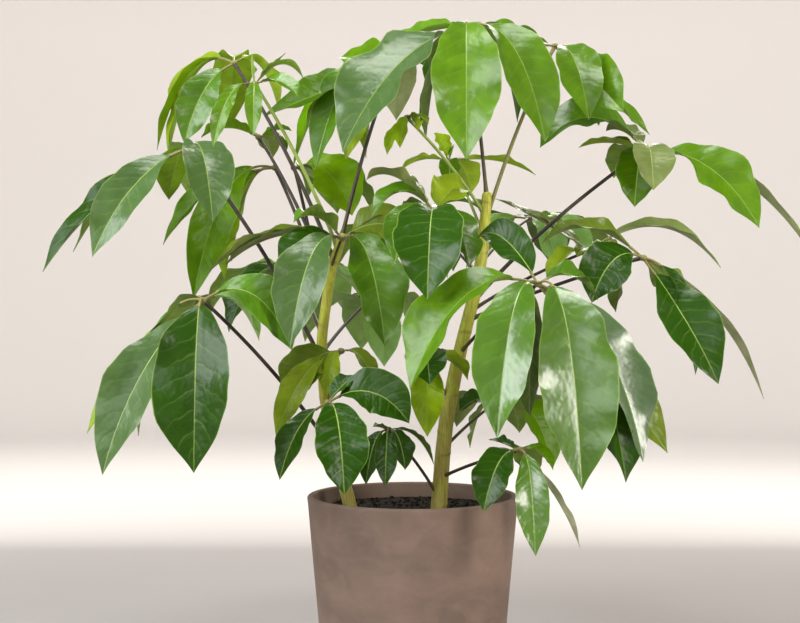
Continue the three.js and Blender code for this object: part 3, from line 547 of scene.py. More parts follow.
# The fronds, the foremost first: the stem and the height on it, the hub, the petiole's tone, the
# leaflets' tone, and for each leaflet [right, back, up] from the hub to its tip, its width, how
# many degrees its upper face turns to the front, the height that its arch aims for, and its own
# tone where it has another.
# Several of these tones paint light, shade and sheen into the leaflets' colours; see the leaf tones.
FRONDS = [
    (2, 480, (162, -160, 576), "brown", "dark", [
        (-167, -40, -136, 104, 22, 38, "bright"), (-61, -110, -191, 84, 10, 30, "glossy"),
        (43, -110, -255, 112, 10, 35, "glossy"), (130, -40, -228, 86, 35, -30, "glossy_painted_sheen"),
        (173, 20, -223, 90, 60, -140, "olive"), (118, 20, -262, 120, 60, -60),
        (-8, 50, -176, 62, 10, 15), (-75, 60, 63, 55, 50, 90), (84, 40, -21, 45, 30, 35, "mid"),
    ]),
    (1, 330, (-281, -120, 555), "brown", "mid", [
        (-150, -20, -176, 52, 40, -85, "lime"), (-119, -70, -225, 82, 42, -75, "blue"),
        (-90, 20, -183, 60, 30, 20), (0, -80, -221, 114, 10, 25, "dark"),
        (118, 10, -67, 70, 60, 50), (70, 50, -55, 55, 40, 25, "soft"), (-40, 110, -110, 70, 0, 30),
    ]),
    (2, 630, (30, -70, 676), "brown", "mid", [
        (-13, -100, -121, 100, 0, 25, "dark"), (-95, 20, 46, 62, 0, 76, "olive"),
        (45, -60, -78, 60, 20, 20), (-86, -5, -8, 46, 25, 62), (-55, -70, -71, 60, 20, 20),
        (45, 60, 30, 60, 40, 50, "lime"), (-20, 110, -20, 70, 0, 30),
    ]),
    (1, 598, (-99, -40, 642), "brown", "mid", [
        (61, -90, -149, 86, 10, 25), (-64, -80, -149, 80, 20, 25, "blue"),
        (95, -50, 2, 62, 65, 38, "olive"), (-188, 10, -48, 55, 10, 30, "olive"),
        (-82, -30, -52, 55, 40, 20, "dark"), (-165, 55, -38, 50, 10, 28, "olive"),
        (-65, 90, 20, 55, 0, 50), (123, 30, 37, 45, 0, 45),
    ]),
    (2, 702, (75, -20, 943), "brown", "bright", [
        (-170, -90, -189, 116, 30, -40, "blue"), (-5, -110, -202, 102, 0, 20),
        (104, -70, -174, 84, 40, 12), (-115, 80, -20, 60, 30, 6), (122, 60, -14, 50, 20, 6),
        (74, 20, -134, 62, 30, 12, "dark"), (-56, 30, -158, 74, 30, 10, "dark"),
        (10, 150, -60, 70, 0, 25, "mid"),
    ]),
    (1, 466, (-320, 20, 776), "brown", "blue", [
        (-122, -80, -161, 68, 50, -38), (48, -110, -115, 78, 0, 25),
        (-206, -20, -180, 64, 32, -60, "deep"), (-177, 40, -149, 55, 20, -30, "mid"),
        (-40, 60, -71, 55, 0, 10, "fresh"), (-20, 130, -60, 70, 0, 25, "mid"),
    ]),
    (2, 527, (317, -60, 614), "brown", "deep", [
        (85, -80, -170, 84, 38, -95, "dark"), (-75, -30, -62, 76, 55, 25),
        (-137, 30, 20, 50, 20, 75, "olive"), (68, -20, -160, 56, 30, -5),
        (169, 10, -195, 30, 0, -50, "silver"), (-30, 30, -75, 50, 20, 10, "mid"),
        (80, 120, -100, 56, 0, -20, "mid"),
    ]),
    (1, 400, (-114, -130, 419), "brown", "dark", [
        (25, -70, -113, 76, 10, 15, "deep"), (-61, -30, -99, 42, 40, -15),
        (108, -20, -26, 70, 60, 42), (38, 20, 35, 35, 20, 30),
    ]),
    (2, 305, (141, -130, 356), "brown", "dark", [
        (-51, -50, -75, 55, 30, 12), (15, -60, -130, 48, 20, 12, "glossy"),
        (43, -10, -25, 30, 20, 12, "fresh"), (80, 0, -130, 22, -20, -60, "silver"),
        (-40, 20, 12, 25, 10, 12), (20, 70, -50, 45, 0, 12, "mid"),
    ]),
    (1, 628, (-220, -40, 857), "green", "bright", [
        (-53, -40, -94, 27, 50, 8), (3, -50, -80, 26, 0, 10), (62, -20, -22, 36, 30, 15, "mid"),
        (66, 20, 11, 26, 0, 55), (42, 10, 45, 14, 0, 30), (-4, 0, 41, 20, 0, 30),
    ]),
    (1, 612, (-260, 50, 902), "brown", "lime", [
        (-66, -40, -123, 60, 60, -25, "mid"), (-111, 50, -125, 72, 60, 52),
        (-132, 110, -114, 45, 40, 52), (-20, 140, -70, 65, 0, 58), (60, 60, -60, 50, 20, 40),
    ]),
    (2, 553, (336, 20, 772), "brown", "mid", [
        (154, -30, -114, 80, 60, 2, "bright"), (244, 20, -150, 56, 20, -2, "pale"),
        (-154, -10, 2, 80, 40, 90), (-26, -52, -86, 66, 20, 12, "grass"),
        (-3, -70, -64, 66, 10, 20, "dusty"), (18, -10, -30, 30, 20, 10),
        (-92, 50, 9, 40, 10, 25, "lime"), (-49, 60, 35, 50, 0, 45, "dusty"),
        (10, 130, -30, 60, 0, 15), (-30, 110, -30, 60, 0, 15),
    ]),
    (2, 540, (249, -20, 626), "brown", "olive", [
        (189, 0, -24, 42, 22, 81, "pale"), (-92, 20, 70, 40, 0, 50),
        (-62, -20, -43, 35, 20, 10, "lime"), (-22, -30, -10, 22, 20, 8), (45, 40, 4, 30, 0, 18),
        (-122, 60, 86, 30, 0, 60),
    ]),
    (2, 275, (-34, -60, 377), "brown", "dark", [
        (23, -30, -52, 36, 10, 6), (-30, -30, -72, 36, 20, 6), (-4, -40, -73, 34, 10, 6),
        (-21, -10, 5, 20, 0, 8), (63, 10, -49, 25, 0, 12),
    ]),
    (2, 410, (16, -30, 475), "pink", "sunlit", [
        (3, -20, -105, 50, 0, 12), (6, -65, -34, 60, 10, 16, "dark"),
        (60, 20, -30, 45, 10, 12, "lime"), (0, 100, -50, 60, 0, 20, "mid"),
    ]),
    (2, 676, (-8, -30, 811), "green", "sunlit", [
        (-28, -20, -54, 22, 20, -16), (-10, -30, -46, 22, 0, 6), (29, 10, -13, 20, 0, 8, "lime"),
        (15, 45, -20, 20, 0, 8, "lime"),
    ]),
    (1, 642, (-24, 60, 911), "brown", "lime", [
        (-71, -60, -156, 60, 60, 15), (-192, -10, -86, 70, 40, -55, "grass"),
        (-116, -20, -163, 60, 50, 20, "mid"), (-45, 40, -142, 60, 60, 15),
        (-154, 40, -157, 64, 30, 20, "fresh"), (-85, 50, 22, 62, 40, 16, "fresh"),
        (63, 60, -22, 55, 0, 20, "dark"), (0, 150, -70, 70, 0, 25, "pale"),
    ]),
    (2, 646, (54, 80, 763), "green", "lime", [
        (-22, -5, 40, 34, 60, 40, "sunlit"), (8, 5, 25, 10, 0, 20), (-71, -20, -16, 30, 10, 12),
        (0, -30, -45, 34, 0, 6, "grass"), (131, 20, -19, 30, 0, 15), (36, 40, -44, 48, 0, 12),
    ]),
    (2, 662, (209, 60, 929), "olive", "bright", [
        (84, -40, -112, 78, 55, -60), (150, 20, -122, 60, 45, -80), (36, -60, -122, 68, 20, 0),
        (-60, 60, -40, 45, 0, 18), (80, 110, -102, 84, 0, 5, "mid"),
    ]),
    (1, 582, (-227, 80, 798), "brown", "fresh", [
        (-78, -10, -7, 50, 0, 26), (47, 20, 12, 30, 0, 20), (43, -20, -24, 28, 0, 10),
        (-61, 50, 20, 30, 0, 30, "olive"), (10, 110, -20, 45, 0, 20, "olive"),
    ]),
    (1, 550, (-206, 110, 756), "brown", "fresh", [
        (-168, 0, -116, 48, 40, -5), (-109, -90, -198, 66, 60, 20),
        (-77, 10, -168, 60, 50, 10, "sunlit"), (-72, 60, -139, 55, 20, 20, "bright"),
    ]),
    (1, 534, (-181, 160, 761), "brown", "mid", [
        (90, -20, -75, 85, 60, 25, "spring"), (20, -10, -46, 40, 10, 6), (120, 70, -60, 70, 0, 25),
        (60, 150, -60, 80, 0, 25),
    ]),
    (1, 430, (-100, -40, 485), "green", "olive", [
        (-73, -20, -66, 66, 60, 2), (-86, -50, -117, 42, 50, -10, "lime"),
        (-18, -50, -60, 34, 20, 8, "lime"), (45, -20, -45, 34, 20, 10),
    ]),
    (1, 480, (-62, 200, 561), "brown", "soft", [
        (-20, 130, -85, 80, 0, 20), (-110, 70, -70, 70, 0, 20), (90, 80, -85, 80, 0, 20),
        (20, -60, -105, 62, 10, 15),
    ]),
    (2, 345, (131, 100, 408), "brown", "mid", [
        (78, -10, -101, 76, 40, 15, "fresh"), (-44, -30, -73, 40, 10, 10),
        (-62, -40, -15, 40, 20, 12, "dark"), (40, 120, -60, 70, 0, 20),
        (-60, 110, -50, 65, 0, 20, "olive"), (120, 60, -60, 60, 0, 20),
    ]),
    (2, 608, (190, 270, 690), "brown", "soft", [
        (150, 60, -90, 80, 10, 25, "mid"), (60, 150, -80, 80, 0, 25, "dark"),
        (-70, 140, -70, 80, 0, 25, "dark"), (-100, 20, -80, 80, 10, 20), (90, -60, -80, 65, 10, 25),
        (35, -95, -90, 60, 0, 20),
    ]),
    (1, 505, (-195, 290, 612), "brown", "soft", [
        (-150, 60, -90, 80, 10, 25, "mid"), (-50, 150, -80, 80, 0, 25, "dark"),
        (80, 130, -70, 80, 0, 25), (120, 10, -60, 65, 10, 25), (-95, -60, -105, 72, 10, 20, "deep"),
    ]),
    (2, 592, (15, 300, 690), "brown", "mid", [
        (-150, 40, -90, 80, 10, 25), (-60, 140, -80, 80, 0, 25, "soft"),
        (60, 140, -80, 80, 0, 25, "dark"), (45, -75, -95, 60, 10, 25), (-80, -70, -80, 60, 10, 25),
        (110, 20, 5, 55, 10, 60),
    ]),
]


def bezier(start, bow, end, t):
    """Points of a quadratic curve at shares t, as a column."""
    return (1 - t) ** 2 * start + 2 * t * (1 - t) * bow + t * t * end


def leaflet_shape(hub, row, index, swing, lift):
    """A leaflet as its midrib's curve and the directions that its blade is built from."""
    right, back, up, width, face, arch = row[:6]
    start = np.array(hub, float)
    to_tip = np.array([right, back + swing, up + lift], float)
    reach = math.hypot(to_tip[0], to_tip[1])
    out = np.array([to_tip[0] / reach, to_tip[1] / reach, 0])
    crest = start + out * (CREST_REACH * reach + CREST_DROP * abs(to_tip[2])) + (0, 0, arch)
    return {
        "curve": (start, crest, start + to_tip),
        "left": np.array([-out[1], out[0], 0]),
        "roll": math.radians(face) * (1 if right >= 0 else -1),
        "width": width,
        "phase": WAVE_STEP * index,
    }


def midrib_at(leaflet, shares, turned):
    """The midrib's points at shares of its length, with the blade's left, its upward normal
    and the length in millimetres."""
    start, crest, tip = leaflet["curve"]
    steps = np.linspace(0, 1, CURVE_STEPS + 1)
    chords = np.linalg.norm(np.diff(bezier(start, crest, tip, steps[:, None]), axis=0), axis=1)
    lengths = np.append(0, np.cumsum(chords))
    t = np.interp(np.asarray(shares) * lengths[-1], lengths, steps)[:, None]
    along = (1 - t) * (crest - start) + t * (tip - crest)
    along /= np.linalg.norm(along, axis=1)[:, None]
    up = np.cross(along, leaflet["left"])
    up /= np.linalg.norm(up, axis=1)[:, None]
    cos = np.cos(leaflet["roll"] * np.asarray(turned))[:, None]
    sin = np.sin(leaflet["roll"] * np.asarray(turned))[:, None]
    side = leaflet["left"] * cos + up * sin
    return bezier(start, crest, tip, t), side, up * cos - leaflet["left"] * sin, lengths[-1]


def half_width(width, s):
    """The blade's outline: round at the stalk, widest at the middle, with a drawn-out tip."""
    return 0.5 * width * np.sin(math.pi * s) ** ROUNDNESS * (1 - TIP_PULL * s**TIP_REACH)


def blade_points(leaflet, s, v):
    """A blade's points: s from stalk to tip, v from the right margin (-1) to the left one (1).
    Also the way that the blade's upper face looks."""
    turned = np.minimum(1, TURN_AT_STALK + TURN_RATE * s)
    point, side, normal, _ = midrib_at(leaflet, STALK_SHARE + (1 - STALK_SHARE) * s, turned)
    half = half_width(leaflet["width"], s)[:, None]
    swell = 2 * math.pi * WAVES * s[:, None] + leaflet["phase"] + np.where(v > 0, WAVE_OFFSET, 0)
    rise = half * np.abs(v) ** CUP * math.sin(FOLD) + WAVE * half * np.sin(swell) * v * v
    out = half * v * math.cos(FOLD)
    return (
        point[:, None] + side[:, None] * out[..., None] + normal[:, None] * rise[..., None],
        normal,
    )


hung = []


def hang(owner, beads, clearance, only_owner=False):
    """Notes what hangs in the crown: beads, the frond they belong to and the room they need."""
    hung.append((owner, beads, clearance, only_owner, beads.min(0), beads.max(0)))


def hangs_free(owner, beads):
    """Whether a blade's beads keep clear of all that already hangs."""
    low, high = beads.min(0) - BLADE_CLEARANCE, beads.max(0) + BLADE_CLEARANCE
    for other, others, clearance, only_owner, other_low, other_high in hung:
        if (other == owner) != only_owner or (other_low > high).any() or (other_high < low).any():
            continue
        near = others[((others >= low) & (others <= high)).all(1)]
        if len(near):
            apart = near[:, None] - beads[None]
            if (np.einsum("abc,abc->ab", apart, apart) < clearance**2).any():
                return False
    return True


def settle(owner, hub, row, index):
    """The leaflet at the first swing and lift with which it hangs free."""
    s = np.arange(BEADS_ALONG) / (BEADS_ALONG - 1)
    v = 2 * np.arange(BEADS_ACROSS) / (BEADS_ACROSS - 1) - 1
    for lift in LIFTS:
        for swing in SWINGS:
            leaflet = leaflet_shape(hub, row, index, swing, lift)
            beads = blade_points(leaflet, s, v)[0].reshape(-1, 3)
            if hangs_free(owner, beads):
                hang(owner, beads, BLADE_CLEARANCE)
                return leaflet
    raise RuntimeError(f"a leaflet of frond {owner} finds no room")


for line in STEMS:
    heights = np.linspace(line[0][2], line[-1][2], STEM_BEADS)
    hang("stem", np.array([stem_at(line, z) for z in heights]), STEM_CLEARANCE)
petioles = []
for owner, (stem_number, height_on, hub, *_) in enumerate(FRONDS):
    start, hub = stem_at(STEMS[stem_number - 1], height_on), np.array(hub, float)
    petioles.append((start, start + (hub - start) * PETIOLE_BOW, hub))
    beads = bezier(*petioles[-1], np.linspace(0, 1, PETIOLE_BEADS)[:, None])
    hang(owner, beads, PETIOLE_CLEARANCE)
    far = np.linalg.norm(beads - hub, axis=1) > OWN_PETIOLE_FREE
    hang(owner, beads[far], OWN_PETIOLE_CLEARANCE, True)
crown = [
    [settle(owner, hub, row, index) for index, row in enumerate(rows)]
    for owner, (_, _, hub, *_, rows) in enumerate(FRONDS)
]

# ---- Petioles ----
# The leaf's long stalk: thin, round and stiff, a little wider where it clasps the stem and
# where it carries the leaflets. Dark purple-brown when grown, green while young.

PETIOLE_RADIUS, RADIUS_PER_LENGTH = 1.8, 0.0038
SHEATH, SHEATH_MM = 0.5, 14  # how much wider it is at the stem, as a share, and how far along
COLLAR, COLLAR_MM = 0.25, 9  # the same at the leaflets
FRESH, FRESH_MM = 0.6, 30  # how much it keeps of the young tone at the stem, and how far along
PETIOLE_RINGS, PETIOLE_SIDES = 44, 14
TAPER = 0.18  # how much slimmer it gets towards the leaflets, as a share
PETIOLE_TONES = {"brown": "#241812", "green": "#7f9440", "pink": "#7a5a48", "olive": "#6d6a35"}

# Petiole skin: smooth, faintly ribbed and satin, mottled between green and purple-brown.
petiole_skin, tree = finish_named("smooth_petiole_skin")
RIB_MM, MOTTLE_MM = 1.2, 16
place = node(tree, "TexCoord", output="Object")
own = node(tree, "Attribute", attribute_name="skin_tone", output="Color")
ribs = node(tree, "TexNoise", {"Vector": place, "Scale": 1 / (RIB_MM * MM), "Detail": 3.0})
mottle = node(tree, "TexNoise", {"Vector": place, "Scale": 1 / (MOTTLE_MM * MM), "Detail": 3.0})
mottle_share = node(tree, "MapRange", {0: mottle, 1: 0.4, 2: 0.7, 4: 0.25})
mottled = node(tree, "Mix", {0: mottle_share, 6: own, 7: "#5c5230"}, **COLOURS)
ribbed = node(tree, "Bump", {"Height": ribs, "Distance": 0.15 * MM})
satin = node(tree, "MapRange", {0: mottle, 3: 0.45, 4: 0.6})
skin = node(
    tree, "BsdfPrincipled", {"Base Color": mottled, "Roughness": satin, "IOR": 1.45, "Normal": ribbed}
)
node(tree, "OutputMaterial", {"Surface": skin})


for number, (curve, frond) in enumerate(zip(petioles, FRONDS), 1):
    t = np.linspace(0, 1, PETIOLE_RINGS)
    path = bezier(*curve, t[:, None])
    from_stem = np.append(0, np.cumsum(np.linalg.norm(np.diff(path, axis=0), axis=1)))
    length = from_stem[-1]
    swell = SHEATH * np.exp(-((from_stem / SHEATH_MM) ** 2))
    swell += COLLAR * np.exp(-(((length - from_stem) / COLLAR_MM) ** 2))
    slim = 1 - TAPER * t
    radii = (PETIOLE_RADIUS + RADIUS_PER_LENGTH * length) * (slim + swell)
    points, faces = tube(path, radii, PETIOLE_SIDES)
    petiole = piece_from(f"slim_petiole_{number:02d}", points, faces, [petiole_skin])
    grown = np.array(linear(PETIOLE_TONES[frond[3]]))
    fresh = np.array(linear(PETIOLE_TONES["olive"]))
    share = np.repeat(FRESH * np.exp(-from_stem / FRESH_MM), PETIOLE_SIDES)[:, None]
    mark_points(petiole, "skin_tone", grown * (1 - share) + fresh * share)
    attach(petiole, "root")
    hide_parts(f"petiole_{number:02d}")

# ---- Leaves ----
# Each frond's leaflets, grown from one knob at the petiole's end: a thin leathery blade folded
# like a gutter along its midrib, with a waved margin, a drawn-out drip tip and a round stalk.
# The midrib stands out as a rib underneath.

BLADE_THICKNESS = 0.9
BLADE_STATIONS = 36
RIB_HALF, RIB_HALF_SHARE = 1.5, 0.12  # mm either side of the midrib, and its most as a share
RIB_DEPTH = 1.6  # mm at the stalk, running out to the tip
COLUMNS = (0.2, 0.4, 0.6, 0.8, 1.0)
STALK_SIDES, STALK_RINGS = 12, 9
STALK_RADIUS, WIDE_BLADE = 1.7, 45  # mm, slimmer under a blade that is less wide than this
STALK_UNDER, STALK_SUNK = 1.12, 0.4  # it runs on under the blade, mm below its middle
STALK_FOOT, STALK_HEAD, FLARE_SHARE = 0.45, 0.25, 0.02  # how much wider its ends are, how far on
KNOB_RADIUS, KNOB_FLATTENED = 5.4, 0.85
VEIN_PAIRS = 9
VEIN_SWEEP = 1.5  # how many vein spacings a side vein runs forward on its way to the margin
VEIN_STAGGER, VEIN_STRAY = 0.45, 0.55  # spacings from the left veins to the right, and astray
VEIN_WANDER_MM, LEAF_GRAIN_MM = 20, 2
LEAF_CLOUD_MM, LEAF_SWELL_MM = 200 / 7, 200 / 9  # seven and nine along a leaflet of 200 mm
RIPPLE = 0.09  # small uneven ripple, as a share of the half width
RAGGED = 0.035  # how far the margin strays in or out, as a share of the half width
BUCKLE = 2.5  # mm that the blade buckles between its veins

# Leaf tones: the upper face, the underside, how much light glows through, and the shine. Beside
# the leaves' own greens, some tones are lighter or darker copies of one green that paint light
# onto some leaflets and shade onto others, and two hold a painted grey sheen.
LEAF_TONES = {
    "mid": ("#4f7912", "#7b8f40", 0.3, 0.45),
    "glossy": ("#4e7813", "#7b8f40", 0.28, 0.9),
    "bright": ("#5c8411", "#8a9e45", 0.4, 0.4),
    "fresh": ("#658f08", "#86a02c", 0.45, 0.0),
    # dark and deep: partly the deeper green of older leaves, partly painted shade.
    "dark": ("#224603", "#5f7236", 0.2, 0.12),
    "deep": ("#1a3902", "#50642c", 0.15, 0.0),
    # soft and sunlit: painted light, lighter greens for leaflets that hang in shade.
    "soft": ("#8eb666", "#a4c078", 0.35, 0.1),
    "sunlit": ("#b4d01c", "#bcd42c", 0.5, 0.0),
    # The next two tones paint a grey sheen into the leaflet's colour, on top of their real shine.
    "blue": ("#4d6839", "#8a9c66", 0.24, 0.33),
    "glossy_painted_sheen": ("#56714a", "#8a9c66", 0.24, 0.9),
    "spring": ("#84a80c", "#9cb430", 0.58, 0.05),
    "lime": ("#9cb02a", "#aab840", 0.45, 0.05),
    # grass: partly a dark green of its own, partly a lime darkened as painted shade.
    "grass": ("#4a6c08", "#6f8a2c", 0.35, 0.0),
    "dusty": ("#727d4a", "#9a9c78", 0.28, 0.0),
    "olive": ("#6a7a24", "#8c9158", 0.28, 0.1),
    # pale: partly a greyish green of its own, partly painted light on leaflets in shade.
    "pale": ("#8c9a5c", "#b3b391", 0.3, 0.0),
    "silver": ("#b4b294", "#cdc8ae", 0.3, 0.0),
}
TONE_SPREAD = 0.2  # how much lighter or darker a leaflet may be than its tone, as a share
UPPER_FINISH, UNDER_FINISH, STALK_FINISH = 0, 1, 2
SHIFT_LEAFLET, SHIFT_FROND = 400.0, 37.0  # mm that set their clouds and buckles apart


def leaf_finish(name, own_tone, vein_share, vein_hex, roughness, waxy, vein_relief, rib_relief):
    """One face of the leaves, in the tone that each leaflet brings: clouded, with a pale midrib
    and side veins that sweep forward. Light glows through it. Relief is in mm, up for a ridge."""
    made, tree = finish_named(name)
    place = node(tree, "UVMap", uv_map="blade")
    millimetres = node(tree, "UVMap", uv_map="blade_mm")
    own = node(tree, "Attribute", attribute_name=own_tone, output="Color")
    glow = node(tree, "Attribute", attribute_name=own_tone, output="Alpha")
    shine = node(tree, "Attribute", attribute_name="leaf_shine", output="Fac")
    s = node(tree, "SeparateXYZ", {0: place}, output="X")
    v = node(tree, "SeparateXYZ", {0: place}, output="Y")
    across = node(tree, "SeparateXYZ", {0: millimetres}, output="Y")
    signed = node(tree, "Math", {0: v, 1: 0.5}, operation="SUBTRACT")
    reach = node(tree, "Math", {0: signed}, operation="ABSOLUTE")
    left = node(tree, "Math", {0: signed, 1: 0.0}, operation="GREATER_THAN")
    offset = node(tree, "Math", {0: left, 1: VEIN_STAGGER}, operation="MULTIPLY")
    swept = node(tree, "Math", {0: reach, 1: 1.2}, operation="POWER")
    wander = node(tree, "TexNoise", {"Vector": millimetres, "Scale": 1 / VEIN_WANDER_MM, "Detail": 1.0})
    sweep = -2.0 * VEIN_SWEEP
    forward = node(tree, "Math", {0: swept, 1: sweep, 2: offset}, operation="MULTIPLY_ADD")
    strayed = node(tree, "Math", {0: wander, 1: VEIN_STRAY, 2: forward}, operation="MULTIPLY_ADD")
    count = node(tree, "Math", {0: s, 1: float(VEIN_PAIRS), 2: strayed}, operation="MULTIPLY_ADD")
    between = node(tree, "Math", {0: count, 1: 0.5}, operation="PINGPONG")
    vein = node(tree, "MapRange", {0: between, 2: 0.075, 3: 1.0, 4: 0.0})
    fading = node(tree, "MapRange", {0: reach, 1: 0.1, 2: 0.5, 3: 1.0, 4: 0.25})
    side_vein = node(tree, "Math", {0: vein, 1: fading}, operation="MULTIPLY")
    quilt = node(tree, "MapRange", {0: between, 2: 0.3}, interpolation_type="SMOOTHSTEP")
    off_rib = node(tree, "Math", {0: across}, operation="ABSOLUTE")
    midrib = node(
        tree, "MapRange", {0: off_rib, 1: 0.35, 2: 1.35, 3: 1.0, 4: 0.0},
        interpolation_type="SMOOTHSTEP",
    )
    tapered = node(tree, "MapRange", {0: s, 1: 0.3, 3: 1.0, 4: 0.35})
    main_vein = node(tree, "Math", {0: midrib, 1: tapered}, operation="MULTIPLY")
    clouds = node(tree, "TexNoise", {"Vector": millimetres, "Scale": 1 / LEAF_CLOUD_MM, "Detail": 3.0})
    cells = node(tree, "TexNoise", {"Vector": millimetres, "Scale": 1 / LEAF_GRAIN_MM, "Detail": 2.0})
    deeper = node(tree, "MapRange", {0: clouds, 1: 0.35, 2: 0.65, 4: 0.4})
    shaded = node(tree, "Mix", {0: deeper, 6: own, 7: "#2b4d05"}, **COLOURS)
    side_share = node(tree, "Math", {0: side_vein, 1: vein_share}, operation="MULTIPLY")
    veined = node(tree, "Mix", {0: side_share, 6: shaded, 7: vein_hex}, **COLOURS)
    rim = node(tree, "MapRange", {0: reach, 1: 0.482, 2: 0.5, 4: 0.5})
    ridge = node(tree, "Math", {0: main_vein, 1: 0.7}, operation="MULTIPLY")
    rib_share = node(tree, "Math", {0: ridge, 1: rim}, operation="MAXIMUM")
    ribbed = node(tree, "Mix", {0: rib_share, 6: veined, 7: vein_hex}, **COLOURS)
    swells = node(tree, "TexNoise", {"Vector": millimetres, "Scale": 1 / LEAF_SWELL_MM, "Detail": 2.0})
    buckled = node(tree, "Bump", {"Height": swells, "Distance": BUCKLE * MM})
    quilted = node(
        tree, "Bump", {"Height": quilt, "Distance": -vein_relief * MM, "Normal": buckled}
    )
    ridged = node(
        tree, "Bump", {"Height": main_vein, "Distance": rib_relief * MM, "Normal": quilted}
    )
    fine = node(tree, "Bump", {"Height": cells, "Distance": 0.05 * MM, "Normal": ridged})
    gloss = node(tree, "MapRange", {0: clouds, 3: roughness - 0.06, 4: roughness + 0.08})
    sheen = node(tree, "MapRange", {0: shine, 3: 0.16, 4: 0.6})
    skin = node(
        tree, "BsdfPrincipled",
        {
            "Base Color": ribbed, "Roughness": gloss, "IOR": 1.46, "Normal": fine,
            "Specular IOR Level": sheen, "Coat Weight": shine if waxy else 0.0,
            "Coat Roughness": 0.22, "Coat IOR": 1.45,
        },
    )
    lit = node(tree, "Mix", {0: 0.55, 6: ribbed, 7: "#b6dc1e"}, **COLOURS)
    through = node(tree, "BsdfTranslucent", {"Color": lit, "Normal": ridged})
    blade = node(tree, "MixShader", {0: glow, 1: skin, 2: through})
    node(tree, "OutputMaterial", {"Surface": blade})
    return made


# Waxy cuticle over leathery leaf: glossy above, with veins pressed in; matt and paler below,
# with the veins raised.
upper_skin = leaf_finish(
    "waxy_upper_leaf_skin", "upper_tone", 0.13, "#a4bf60", 0.29, True, -0.22, -0.5
)
under_skin = leaf_finish(
    "matt_leaf_underside", "under_tone", 0.35, "#aab97a", 0.55, False, 0.25, 0.4
)

# Leaflet stalks and the knob: smooth skin, mottled between green and brown.
stalk_skin, tree = finish_named("smooth_leaflet_stalk")
STALK_MOTTLE_MM = 6
place = node(tree, "TexCoord", output="Object")
mottle = node(tree, "TexNoise", {"Vector": place, "Scale": 1 / (STALK_MOTTLE_MM * MM), "Detail": 3.0})
stalk_tone = node(tree, "Mix", {0: mottle, 6: "#5a602a", 7: "#7f7340"}, **COLOURS)
uneven = node(tree, "Bump", {"Height": mottle, "Distance": 0.3 * MM})
stalk = node(
    tree, "BsdfPrincipled",
    {"Base Color": stalk_tone, "Roughness": 0.45, "IOR": 1.45, "Normal": uneven},
)
node(tree, "OutputMaterial", {"Surface": stalk})


